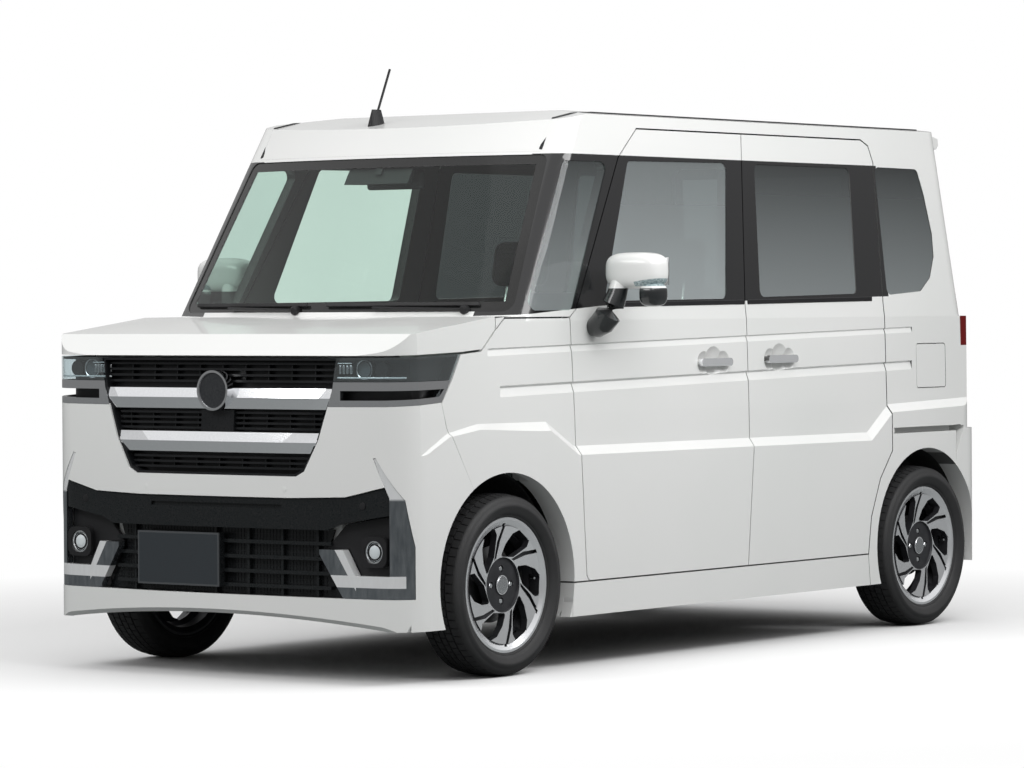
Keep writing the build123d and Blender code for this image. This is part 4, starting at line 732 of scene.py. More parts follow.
FINISHES = {
    "paint": Paint("pearl_paint", lined=False),
    "banded_paint": Paint("pearl_paint_black_pillars", band=True),
    "door_paint": Paint("pearl_paint_doors", band=True, handle_x=0.7168),
    "mirror_shell": MirrorShell("mirror_shell_paint"),
    "plated": Plated("bright_plating"),
    "plate_grille": PlateGrille("bumper_grille_black"),
    "trim_facets": TrimFacets("corner_trim_plating"),
    "lit_lens": Moulding("clear_lamp_lens", (0.66, 0.72, 0.74), (0.82, 0.86, 0.88), 0.08, 160.0, 0.0003, 0.8),
    "lined_paint": Paint("pearl_paint_lined"),
    "grille_black": Moulding(
        "grille_black", (0.009, 0.010, 0.011), (0.020, 0.020, 0.022), 0.30, 400.0, 0.00004, specular=0.25
    ),
    "satin_black": Moulding(
        "satin_black_panel", (0.012, 0.012, 0.013), (0.020, 0.020, 0.022), 0.42, specular=0.3
    ),
    "cabin": Moulding(
        "grained_cabin_moulding", (0.035, 0.035, 0.038), (0.055, 0.055, 0.058), 0.62, 700.0, 0.0002
    ),
    "liner": Moulding("liner_felt", (0.018, 0.018, 0.019), (0.035, 0.034, 0.033), 0.85, 300.0, 0.0004),
    "rubber": Moulding("tyre_rubber", (0.018, 0.018, 0.019), (0.032, 0.032, 0.033), 0.62, 500.0, 0.0002),
    "chrome": Metal("bright_chrome", (0.90, 0.91, 0.93), (0.82, 0.83, 0.85), 0.09),
    "satin_chrome": Metal("satin_chrome", (0.66, 0.67, 0.69), (0.50, 0.51, 0.53), 0.20, (0.1, 1.0, 1.0)),
    "steel": Metal("black_chassis_steel", (0.035, 0.035, 0.037), (0.06, 0.058, 0.055), 0.45, metallic=0.4),
    "iron": Metal("brake_iron", (0.30, 0.30, 0.31), (0.20, 0.19, 0.18), 0.38, scale=300.0),
    "casting": Metal("cast_alloy", (0.36, 0.37, 0.38), (0.26, 0.26, 0.27), 0.5, scale=220.0, depth=0.0004),
    "exhaust": Metal("dull_stainless", (0.42, 0.40, 0.37), (0.30, 0.27, 0.24), 0.36, (1.0, 6.0, 1.0)),
    "wheel": WheelAlloy("machined_wheel_alloy"),
    "screen": Pane("green_screen_glass", (0.86, 0.92, 0.89), edge=PrintedEdge(-0.135, 0.787, 1.583, 1.150)),
    # Door glass, privacy glass and lamp lenses carry a painted pale reflection, stronger towards the bottom
    # of the side glass.
    "door_glass": Pane("green_door_glass", (0.86, 0.93, 0.90), haze=(0.50, 0.26)),
    "privacy": Pane("privacy_glass", (0.20, 0.215, 0.22), haze=(0.34, 0.07), front_tint=(0.80, 0.88, 0.85)),
    "privacy_tail": Pane(
        "privacy_tailgate_glass", (0.20, 0.215, 0.22), edge=PrintedEdge(-0.053, 0.577, 1.600, 1.195)
    ),
    "lens": Pane("smoked_lamp_lens", (0.84, 0.88, 0.89), haze=(0.10, 0.10)),
    "red_lens": Pane("red_lamp_lens", (0.35, 0.015, 0.02)),
    "lamp_ball": Moulding(
        "lamp_ball_glass", (0.10, 0.12, 0.13), (0.14, 0.16, 0.17), 0.05, 30.0, 0.00001, 1.0
    ),
    "silver": Metal(
        "silvered_glass", (0.80, 0.81, 0.82), (0.76, 0.77, 0.78), 0.03, scale=20.0, depth=0.000005
    ),
    "display": Moulding(
        "dark_display", (0.012, 0.014, 0.018), (0.018, 0.021, 0.026), 0.08, 30.0, 0.00001, 0.8
    ),
    "plated_plain": Metal("plain_plating", (0.72, 0.735, 0.75), (0.62, 0.635, 0.65), 0.08),
    "cloth": Cloth("dark_seat_cloth", (0.028, 0.028, 0.031), (0.075, 0.075, 0.08)),
}

NODE_FINISHES = {
    "banded_paint": ("body_shell",),
    "door_paint": ("door_front_left", "door_front_right", "sliding_door_left", "sliding_door_right"),
    "mirror_shell": ("mirror_left", "mirror_right"),
    "plated": ("grille_bars",),
    "plate_grille": ("bumper_grille",),
    "lined_paint": ("roof_panel", "tailgate"),
    "paint": (
        "bonnet", "front_fenders", "front_bumper", "rear_bumper", "sill_skirts", "fuel_flap",
    ),
    "grille_black": ("radiator_grille",),
    "trim_facets": ("corner_trims",),
    "satin_black": ("fog_lamps", "antenna", "lamp_units"),
    "lens": ("headlamps",),
    "red_lens": ("rear_lamps",),
    "screen": ("windscreen",),
    "privacy": ("side_glass",),
    "door_glass": ("door_glass_left", "door_glass_right"),
    "privacy_tail": ("tailgate_glass",),
    "cabin": ("dashboard", "interior_mirror", "steering_wheel", "front_seats", "rear_seat"),
    "liner": ("wheel_liners", "floor_pan"),
    "casting": ("engine", "radiator"),
    "steel": ("fuel_tank", "rear_axle", "front_suspension"),
    "exhaust": ("exhaust",),
    "iron": ("knuckle_left", "knuckle_right"),
    "wheel": tuple(f"rim_{c.value[0]}" for c in Corner),
    "rubber": tuple(f"tyre_{c.value[0]}" for c in Corner),
}


class Workshop:
    """Builds each finish once and puts it on nodes and pieces."""

    def __init__(self) -> None:
        """Starts with no material made."""
        self.made: dict[str, bpy.types.Material] = {}

    def finish(self, name: str) -> bpy.types.Material:
        """A finish's material, made the first time that it is asked for.

        Args:
            name: A key of FINISHES.

        Returns:
            The material.
        """
        if name not in self.made:
            self.made[name] = FINISHES[name].build()
        return self.made[name]

    def dress(self, piece: bpy.types.Object, name: str) -> None:
        """Gives a whole piece one finish.

        Args:
            piece: The piece or node.
            name: A key of FINISHES.
        """
        slots = piece.data.materials
        if len(slots) == 0:
            slots.append(self.finish(name))
        for index in range(len(slots)):
            slots[index] = self.finish(name)

    def place(self, piece: bpy.types.Object, name: str, body: str) -> None:
        """Gives a new piece its finish and puts it on a body.

        Args:
            piece: The piece.
            name: A key of FINISHES.
            body: The body that it rides on.
        """
        self.dress(piece, name)
        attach(piece, body)

    def dress_nodes(self) -> None:
        """Gives every node of the construction its finish."""
        for name, nodes in NODE_FINISHES.items():
            for node in nodes:
                self.dress(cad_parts[node], name)
            LOG.info("%s on %s", name, ", ".join(nodes))


class Sculpt:
    """Collects plain solids of one piece in one mesh."""

    def __init__(self) -> None:
        """Starts with nothing."""
        self.bm = bmesh.new()

    def box(self, low: Point, high: Point, bevel: float = 0.0, turn: Matrix | None = None) -> None:
        """Adds a block.

        Args:
            low: Its corner with the lowest numbers.
            high: Its corner with the highest numbers.
            bevel: How far its edges are rounded.
            turn: How it is moved afterwards, or None.
        """
        size = Vector(high) - Vector(low)
        middle = (Vector(high) + Vector(low)) / 2
        place = (turn or Matrix()) @ Matrix.Translation(middle) @ Matrix.Diagonal((*size, 1.0))
        made = bmesh.ops.create_cube(self.bm, size=1.0, matrix=place)
        if bevel:
            edges = list({edge for vert in made["verts"] for edge in vert.link_edges})
            bmesh.ops.bevel(
                self.bm, geom=edges, offset=bevel, segments=3, profile=0.5, affect="EDGES", clamp_overlap=True
            )

    def sweep(self, rings: Sequence[Sequence[Vector]], loop: bool = False) -> None:
        """Joins rings of points in turn and closes the ends.

        Args:
            rings: The rings, with as many points each.
            loop: True when the last ring joins the first.
        """
        made = [[self.bm.verts.new(point) for point in ring] for ring in rings]
        pairs = list(zip(made, made[1:]))
        if loop:
            pairs.append((made[-1], made[0]))
        for first, second in pairs:
            for index in range(len(first)):
                follow = (index + 1) % len(first)
                self.bm.faces.new((first[index], second[index], second[follow], first[follow]))
        if not loop:
            self.bm.faces.new(made[0])
            self.bm.faces.new(made[-1])

    def lathe(
        self, profile: Sequence[tuple[float, float]], place: Matrix, segments: int = 32, loop: bool = False
    ) -> None:
        """Adds a turned solid about the X axis.

        Args:
            profile: Its (along, radius) points.
            place: Where it is moved.
            segments: How many sides it has.
            loop: True when the profile is a closed line.
        """
        rings = []
        for along, radius in profile:
            ring = []
            for index in range(segments):
                angle = math.tau * index / segments
                ring.append(place @ Vector((along, radius * math.cos(angle), radius * math.sin(angle))))
            rings.append(ring)
        self.sweep(rings, loop)

    def tube(
        self, path: Sequence[Point], radius: float | Sequence[float], sides: int = 10, flat: float = 1.0
    ) -> None:
        """Adds a round bar along a line.

        Args:
            path: The line's points.
            radius: Its radius, or one for each point.
            sides: How many sides it has.
            flat: How tall it is for its width.
        """
        points = [Vector(point) for point in path]
        sizes = radius if isinstance(radius, (list, tuple)) else [radius] * len(points)
        rings = []
        for index, point in enumerate(points):
            before = points[max(index - 1, 0)]
            after = points[min(index + 1, len(points) - 1)]
            along = (after - before).normalized()
            rise = Vector((0, 0, 1)) if abs(along.z) < 0.9 else Vector((1, 0, 0))
            across = along.cross(rise).normalized()
            rise = across.cross(along)
            ring = []
            for side in range(sides):
                angle = math.tau * side / sides
                size = sizes[index]
                ring.append(point + across * size * math.cos(angle) + rise * size * flat * math.sin(angle))
            rings.append(ring)
        self.sweep(rings)

    def pebble(self, centre: Point, half: Point, power: float) -> None:
        """Adds a rounded block that bulges more the lower its power is.

        Args:
            centre: Its middle.
            half: Half of its size.
            power: 2 for an egg, and more for a squarer form.
        """
        made = bmesh.ops.create_uvsphere(self.bm, u_segments=56, v_segments=32, radius=1.0)
        for vert in made["verts"]:
            way = vert.co.normalized()
            reach = sum(abs(value) ** power for value in way) ** (-1.0 / power)
            vert.co = Vector(centre) + Vector(way[axis] * half[axis] * reach for axis in range(3))

    def strip(self, path: Sequence[Point], rise: Point, out: Point) -> None:
        """Adds a flat bar along a line.

        Args:
            path: The line's points.
            rise: Half of its height, as a vector.
            out: Its thickness, as a vector.
        """
        up, away = Vector(rise), Vector(out)
        rings = []
        for point in path:
            foot = Vector(point)
            rings.append([foot - up, foot + up, foot + up * 0.8 + away, foot - up * 0.8 + away])
        self.sweep(rings)

    def twin(self) -> None:
        """Adds the mirror image of all that is there on the other side."""
        copy = bmesh.ops.duplicate(self.bm, geom=self.bm.verts[:] + self.bm.edges[:] + self.bm.faces[:])
        verts = [item for item in copy["geom"] if isinstance(item, bmesh.types.BMVert)]
        bmesh.ops.scale(self.bm, vec=(-1.0, 1.0, 1.0), verts=verts)

    def mesh(self, name: str, smooth: float = 35.0) -> bpy.types.Object:
        """Makes the object.

        Args:
            name: Its name.
            smooth: The angle, in degrees, up to which its faces shade as one.

        Returns:
            The object, linked to the scene.
        """
        bmesh.ops.recalc_face_normals(self.bm, faces=self.bm.faces[:])
        data = bpy.data.meshes.new(name)
        self.bm.to_mesh(data)
        self.bm.free()
        data.shade_smooth()
        data.set_sharp_from_angle(angle=math.radians(smooth))
        obj = bpy.data.objects.new(name, data)
        bpy.context.scene.collection.objects.link(obj)
        return obj


def along_x(x: float, y: float, z: float, side: float = 1.0) -> Matrix:
    """A place whose X axis points to a side of the car."""
    return Matrix.Translation((x, y, z)) @ Matrix.Rotation(0.0 if side > 0 else math.pi, 4, "Z")


def along_nose(x: float, y: float, z: float) -> Matrix:
    """A place whose X axis points forward, out of the nose."""
    return Matrix.Translation((x, y, z)) @ Matrix.Rotation(-math.pi / 2, 4, "Z")


class Probe:
    """Finds points on the construction's surface."""

    def __init__(self, *nodes: str) -> None:
        """Collects the surface of some nodes.

        Args:
            nodes: The nodes' names.
        """
        points: list[Vector] = []
        faces: list[list[int]] = []
        for name in nodes:
            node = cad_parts[name]
            start = len(points)
            points.extend(node.matrix_world @ vert.co for vert in node.data.vertices)
            faces.extend([start + index for index in face.vertices] for face in node.data.polygons)
        self.tree = BVHTree.FromPolygons(points, faces)

    def hit(self, start: Point, way: Point, fallback: Point) -> Vector:
        """The first point that a ray meets.

        Args:
            start: Where the ray starts.
            way: Where it goes.
            fallback: The answer when it meets nothing.

        Returns:
            The point.
        """
        found = self.tree.ray_cast(Vector(start), Vector(way))[0]
        return found if found is not None else Vector(fallback)


class Repeats:
    """The Geometry Nodes group that repeats a small form in a ring, and the call that uses it."""

    def __init__(self) -> None:
        """Builds the ring."""
        self.ring = self.group()

    def group(self) -> bpy.types.NodeTree:
        """Builds the group: copies turned about X, moved, realized and given a material."""
        tree = bpy.data.node_groups.new("ring_of_copies", "GeometryNodeTree")
        face = tree.interface
        face.new_socket("Geometry", in_out="INPUT", socket_type="NodeSocketGeometry")
        for name, kind in (("Count", "Int"), ("Centre", "Vector"), ("Finish", "Material"), ("Turn", "Float")):
            face.new_socket(name, in_out="INPUT", socket_type=f"NodeSocket{kind}")
        face.new_socket("Geometry", in_out="OUTPUT", socket_type="NodeSocketGeometry")
        new, link = tree.nodes.new, tree.links.new
        source = new("NodeGroupInput")
        line = new("GeometryNodeMeshLine")
        line.inputs["Offset"].default_value = (0.0, 0.0, 0.0)
        link(source.outputs["Count"], line.inputs["Count"])
        copies = new("GeometryNodeInstanceOnPoints")
        link(line.outputs[0], copies.inputs["Points"])
        link(source.outputs["Geometry"], copies.inputs["Instance"])
        move = new("GeometryNodeTransform")
        link(source.outputs["Centre"], move.inputs["Translation"])
        index = new("GeometryNodeInputIndex")
        share = new("ShaderNodeMath")
        share.operation = "DIVIDE"
        share.inputs[0].default_value = math.tau
        link(source.outputs["Count"], share.inputs[1])
        angle = new("ShaderNodeMath")
        angle.operation = "MULTIPLY"
        link(index.outputs[0], angle.inputs[0])
        link(share.outputs[0], angle.inputs[1])
        turn = new("ShaderNodeCombineXYZ")
        link(angle.outputs[0], turn.inputs["X"])
        link(turn.outputs[0], copies.inputs["Rotation"])
        about = new("ShaderNodeCombineXYZ")
        link(source.outputs["Turn"], about.inputs["Z"])
        link(about.outputs[0], move.inputs["Rotation"])
        realize = new("GeometryNodeRealizeInstances")
        paint = new("GeometryNodeSetMaterial")
        link(source.outputs["Finish"], paint.inputs["Material"])
        target = new("NodeGroupOutput")
        link(copies.outputs[0], move.inputs["Geometry"])
        link(move.outputs[0], realize.inputs[0])
        link(realize.outputs[0], paint.inputs["Geometry"])
        link(paint.outputs[0], target.inputs[0])
        return tree

    def spread(self, obj: bpy.types.Object, **values: object) -> None:
        """Repeats an object's form and keeps the result as its plain mesh.

        Args:
            obj: The object with the small form.
            values: The group's inputs.
        """
        modifier = obj.modifiers.new("copies", "NODES")
        modifier.node_group = self.ring
        sockets = self.ring.interface.items_tree
        names = {item.name: item.identifier for item in sockets if item.in_out == "INPUT"}
        for name, value in values.items():
            modifier[names[name]] = value
        graph = bpy.context.evaluated_depsgraph_get()
        mesh = bpy.data.meshes.new_from_object(obj.evaluated_get(graph))
        obj.modifiers.remove(modifier)
        obj.data = mesh


@dataclass
class Tyre:
    """A road tyre: a turned carcass and a ring of tread blocks."""

    radius: float = 0.281
    floor: float = 0.2738
    blocks: int = 62
    fill: float = 0.88
    crown: float = 0.020
    shoulder: float = 0.061
    ribs: tuple[tuple[float, float], ...] = (
        (-0.0655, -0.0395), (-0.0345, -0.0135), (-0.0085, 0.0085), (0.0135, 0.0345), (0.0395, 0.0655),
    )
    half_profile: tuple[tuple[float, float], ...] = (
        (0.0550, 0.1915), (0.0570, 0.2090), (0.0640, 0.2095), (0.0668, 0.2120), (0.0672, 0.2160),
        (0.0705, 0.2178), (0.0752, 0.2270), (0.0800, 0.2370), (0.0815, 0.2405), (0.0822, 0.2430),
        (0.0817, 0.2460), (0.0800, 0.2520), (0.0792, 0.2528), (0.0770, 0.2600), (0.0735, 0.2680),
        (0.0690, 0.2715), (0.0655, 0.2738), (0.0400, 0.2738),
    )

    def top(self, x: float) -> float:
        """The tread's radius at a distance from its middle."""
        away = abs(x)
        fall = max(away - self.crown, 0.0) * 0.0732
        return min(self.radius - fall, 0.278 - (away - self.shoulder) * 0.667)

    def carcass(self, name: str, centre: Point) -> bpy.types.Object:
        """Makes the turned part.

        Args:
            name: The piece's name.
            centre: The wheel's centre.

        Returns:
            The object.
        """
        shape = Sculpt()
        half = list(self.half_profile)
        profile = half + [(-x, radius) for x, radius in reversed(half)]
        shape.lathe(profile, Matrix.Translation(centre), 120, True)
        return shape.mesh(name, 50.0)

    def tread(self, name: str) -> bpy.types.Object:
        """Makes one pitch of blocks about the X axis, at the origin."""
        shape = Sculpt()
        pitch = math.tau / self.blocks
        for number, (low, high) in enumerate(self.ribs):
            start = pitch * 0.31 * number
            rings = []
            for step in (0.0, 0.5, 1.0):
                angle = start + pitch * self.fill * step
                ring = []
                edges = ((low, self.floor), (low, self.top(low)), (high, self.top(high)), (high, self.floor))
                for x, radius in edges:
                    lean = angle + x * 0.35
                    ring.append(Vector((x, radius * math.cos(lean), radius * math.sin(lean))))
                rings.append(ring)
            shape.sweep(rings)
        return shape.mesh(name, 20.0)

    def build(self, shop: Workshop, repeats: Repeats) -> None:
        """Makes all four tyres in place of the construction's plain ones."""
        for corner in Corner:
            name, side = corner.value
            centre = (side * TRACK_X, AXLE_Y[name.split("_")[0]], AXLE_Z)
            carcass = self.carcass(f"tyre_carcass_{name}", centre)
            shop.place(carcass, "rubber", f"wheel_{name}")
            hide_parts(f"tyre_{name}")
            tread = self.tread(f"tyre_tread_{name}")
            repeats.spread(tread, Count=self.blocks, Centre=centre, Finish=shop.finish("rubber"), Turn=0.0)
            shop.place(tread, "rubber", f"wheel_{name}")


@dataclass
class WheelTrim:
    """Nuts, cap ring and valve of each wheel."""

    nut_circle: float = 0.050
    nuts: int = 4
    nut_x: tuple[float, float] = (0.026, 0.0415)
    nut_radius: float = 0.0100
    cap_x: float = 0.0471
    cap_steps: tuple[tuple[float, float], ...] = (
        (0.0, 0.027), (0.0018, 0.0255), (0.0022, 0.020), (0.0022, 0.0195),
    )
    valve: tuple[Point, Point] = ((0.030, 0.168, 0.012), (0.052, 0.160, 0.012))

    def build(self, shop: Workshop, repeats: Repeats) -> None:
        """Makes the pieces on each wheel."""
        for corner in Corner:
            name, side = corner.value
            centre = (side * TRACK_X, AXLE_Y[name.split("_")[0]], AXLE_Z)
            body = f"wheel_{name}"
            turn = 0.0 if side > 0 else math.pi
            shape = Sculpt()
            low, high = self.nut_x
            profile = [(low, self.nut_radius), (high - 0.003, self.nut_radius), (high, self.nut_radius * 0.7)]
            shape.lathe(profile, Matrix.Translation((0.0, self.nut_circle, 0.0)), 6)
            nut = shape.mesh(f"wheel_nuts_{name}", 20.0)
            repeats.spread(nut, Count=self.nuts, Centre=centre, Finish=shop.finish("chrome"), Turn=turn)
            shop.place(nut, "chrome", body)
            shape = Sculpt()
            place = along_x(*centre, side)
            shape.lathe([(self.cap_x + rise, radius) for rise, radius in self.cap_steps], place, 40)
            shape.tube([place @ Vector(end) for end in self.valve], 0.0035)
            shop.place(shape.mesh(f"wheel_cap_{name}"), "satin_chrome", body)


@dataclass
class Lamps:
    """Rings, glass and light guides of the headlamps and fog lamps, and the bumper's sensors."""

    projector: Point = (0.548, -1.6360, 0.949)
    projector_radius: float = 0.031
    guides: tuple[tuple[float, float, float, float], ...] = (
        (0.9245, 0.452, 0.690, 0.0028), (0.968, 0.470, 0.520, 0.0016),
    )
    guide_depth: float = 0.0095
    cells: int = 5
    cell_x: tuple[float, float] = (0.462, 0.013)
    fog: Point = (0.592, -1.648, 0.403)
    sensors: tuple[Point, ...] = ((0.276, -1.6885, 0.586),)
    corner_sensor: tuple[float, float] = (0.557, 0.541)

    def build(self, shop: Workshop) -> None:
        """Makes the pieces."""
        rings, glass = Sculpt(), Sculpt()
        radius = self.projector_radius
        place = along_nose(*self.projector)
        rings.lathe(
            [(-0.004, radius), (0.0006, radius), (0.0010, radius - 0.002), (-0.001, radius - 0.005)],
            place, 48,
        )
        glass.lathe([(-0.001, radius - 0.005), (0.0006, radius - 0.012), (0.0012, 0.004)], place, 48)
        fog = along_nose(*self.fog)
        rings.lathe([(-0.008, 0.034), (0.002, 0.034), (0.002, 0.030), (-0.006, 0.026)], fog, 48)
        lit = Sculpt()
        lit.lathe([(-0.004, 0.026), (0.001, 0.018), (0.0025, 0.006)], fog, 48)
        lens = Probe("headlamps")
        for z, start, end, size in self.guides:
            path = []
            for step in range(13):
                x = start + (end - start) * step / 12
                point = lens.hit((x, -3.0, z), (0, 1, 0), (x, -1.66, z))
                path.append((x, point.y + self.guide_depth, z))
            lit.tube(path, size, 8)
        for index in range(self.cells):
            x = self.cell_x[0] + self.cell_x[1] * index
            point = lens.hit((x, -3.0, 0.95), (0, 1, 0), (x, -1.66, 0.95))
            rings.box((x - 0.0045, point.y + 0.012, 0.936), (x + 0.0045, point.y + 0.020, 0.962), 0.002)
        lit.twin()
        shop.place(lit.mesh("lamp_guides"), "lit_lens", "body")
        rings.twin()
        glass.twin()
        shop.place(rings.mesh("lamp_rings"), "chrome", "body")
        shop.place(glass.mesh("lamp_balls"), "lamp_ball", "body")
        discs = Sculpt()
        for place in self.sensors:
            discs.lathe([(-0.004, 0.010), (0.0012, 0.010), (0.0016, 0.008)], along_nose(*place), 28)
        discs.twin()
        shop.place(discs.mesh("parking_sensors"), "paint", "body")
        corners = Sculpt()
        bumper = Probe("front_bumper", "bumper_grille", "corner_trims")
        x, z = self.corner_sensor
        point = bumper.hit((x, -3.0, z), (0, 1, 0), (x, -1.66, z))
        corners.lathe([(-0.004, 0.011), (0.0016, 0.011), (0.0020, 0.009)], along_nose(*point), 28)
        corners.twin()
        shop.place(corners.mesh("corner_sensors"), "satin_black", "body")


@dataclass
class Glazing:
    """Wipers, the screen camera's cover, and belt and roof mouldings."""

    camera_rows: tuple[Point, ...] = (
        (1.530, -0.886, -0.830), (1.560, -0.868, -0.812), (1.592, -0.846, -0.800),
    )
    rear_pivot: Point = (0.0, 1.640, 1.178)
    rear_arm: tuple[Point, ...] = ((0.0, 1.660, 1.180), (-0.20, 1.656, 1.192), (-0.34, 1.650, 1.200))
    roof_x: float = 0.572
    roof_y: tuple[float, ...] = (
        -0.770, -0.700, -0.600, -0.500, -0.400, -0.200, 0.0, 0.3, 0.6, 0.9, 1.2, 1.35, 1.5,
    )
    screen_foot: tuple[float, float] = (-1.191, 0.647)
    screen_side: tuple[float, float] = (-1.052, 0.5625)
    half_width: float = 0.700

    def on_screen(self, x: float, z: float, lift: float) -> Point:
        """A point over the windscreen's outer face.

        Args:
            x: Across the car.
            z: Its height.
            lift: How far it stands off, along the car.

        Returns:
            The point.
        """
        rise = z - 1.090
        middle = self.screen_foot[0] + self.screen_foot[1] * rise
        side = self.screen_side[0] + self.screen_side[1] * rise
        return (x, middle + (side - middle) * (x / self.half_width) ** 2 - lift, z)

    def build(self, shop: Workshop) -> None:
        """Makes the pieces."""
        self.build_wipers(shop)
        camera = Sculpt()
        rings = []
        for z, low, high in self.camera_rows:
            corners = ((-0.13, low), (0.13, low), (0.10, high), (-0.10, high))
            rings.append([Vector((x, front, z)) for x, front in corners])
        camera.sweep(rings)
        shop.place(camera.mesh("screen_camera_cover"), "cabin", "body")
        self.build_strips(shop)

    def build_wipers(self, shop: Workshop) -> None:
        """Both front wipers, parked along the screen's foot."""
        arms, blades = Sculpt(), Sculpt()
        for pivot, tip, tail in ((-0.10, -0.60, -0.06), (0.52, 0.02, 0.56)):
            span = [pivot + (tip - pivot) * step / 8 for step in range(9)]
            arm = [self.on_screen(x, 1.128 + 0.010 * step / 8, 0.016) for step, x in enumerate(span[:6])]
            arms.tube(arm, 0.006, 8, 0.6)
            hub = along_nose(*self.on_screen(pivot, 1.126, 0.010))
            arms.lathe([(-0.012, 0.014), (0.008, 0.014), (0.012, 0.009)], hub, 24)
            line = [tail + (tip - tail) * step / 12 for step in range(13)]
            blade = [self.on_screen(x, 1.143, 0.004) for x in line]
            blades.strip(blade, (0, 0.001, 0.006), (0, -0.007, 0.002))
        shop.place(arms.mesh("wiper_arms"), "satin_black", "body")
        shop.place(blades.mesh("wiper_blades"), "rubber", "body")
        rear = Sculpt()
        hub = Matrix.Translation(self.rear_pivot) @ Matrix.Rotation(math.pi / 2, 4, "Z")
        rear.lathe([(-0.004, 0.020), (0.016, 0.020), (0.022, 0.012)], hub, 28)
        rear.tube(self.rear_arm, 0.006, 8, 0.6)
        shop.place(rear.mesh("rear_wiper"), "satin_black", "tailgate_body")

    def build_strips(self, shop: Workshop) -> None:
        """Belt mouldings on the doors and the body, and mouldings along the roof."""
        rows = (
            ("front", "door_front_{side}", -0.600, 0.186, 1.138, 1.144, "door_{side}"),
            ("sliding", "sliding_door_{side}", 0.206, 0.985, 1.144, 1.152, "body"),
        )
        for name, node, start, end, low, high, body in rows:
            for mirrored in Mirrored:
                side, sign = mirrored.name.lower(), mirrored.value
                probe = Probe(node.format(side=side))
                path = []
                for step in range(9):
                    y = start + (end - start) * step / 8
                    z = low + (high - low) * step / 8
                    path.append(probe.hit((sign * 1.2, y, z), (-sign, 0, 0), (sign * 0.706, y, z)))
                shape = Sculpt()
                shape.strip(path, (0, 0, 0.008), (sign * 0.003, 0, 0))
                shop.place(shape.mesh(f"belt_moulding_{name}_{side}"), "satin_black", body.format(side=side))
        probe = Probe("roof_panel", "body_shell")
        roof = Sculpt()
        path = [probe.hit((self.roof_x, y, 3.0), (0, 0, -1), (self.roof_x, y, 1.74)) for y in self.roof_y]
        roof.strip(path, (0.006, 0, 0), (0, 0, 0.004))
        roof.twin()
        shop.place(roof.mesh("roof_mouldings"), "satin_black", "body")


@dataclass
class Mirrors:
    """Each door mirror: a rounded shell, its foot and arm, and the silvered pane on its back."""

    shell: tuple[Point, Point] = ((0.8465, -0.635, 1.245), (0.1010, 0.0595, 0.0575))
    foot: tuple[Point, Point] = ((0.912, -0.640, 1.170), (0.036, 0.046, 0.038))
    arm: tuple[tuple[float, float, float, float], ...] = (
        (0.704, -0.690, 1.066, 0.026), (0.728, -0.690, 1.070, 0.036), (0.752, -0.689, 1.084, 0.041),
        (0.772, -0.686, 1.108, 0.041), (0.786, -0.680, 1.140, 0.036), (0.796, -0.672, 1.172, 0.032),
        (0.802, -0.662, 1.215, 0.028),
    )

    x: tuple[float, float] = (0.765, 0.928)
    z: tuple[float, float] = (1.200, 1.286)
    y: float = -0.5758

    def build(self, shop: Workshop) -> None:
        """Makes both mirrors in place of the construction's plainer ones."""
        for mirrored in Mirrored:
            side, sign = mirrored.name.lower(), mirrored.value
            shape = Sculpt()
            for (centre, half), power in ((self.shell, 3.4), (self.foot, 3.0)):
                shape.pebble((sign * centre[0], centre[1], centre[2]), half, power)
            path = [(sign * x, y, z) for x, y, z, _ in self.arm]
            shape.tube(path, [row[3] for row in self.arm], 28)
            housing = shape.mesh(f"mirror_housing_{side}", 40.0)
            shop.place(housing, "mirror_shell", f"door_{side}")
            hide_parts(f"mirror_{side}")
            shape = Sculpt()
            xs = sorted((sign * self.x[0], sign * self.x[1]))
            shape.box((xs[0], self.y - 0.004, self.z[0]), (xs[1], self.y + 0.0008, self.z[1]), 0.0007)
            shop.place(shape.mesh(f"mirror_pane_{side}"), "silver", f"door_{side}")


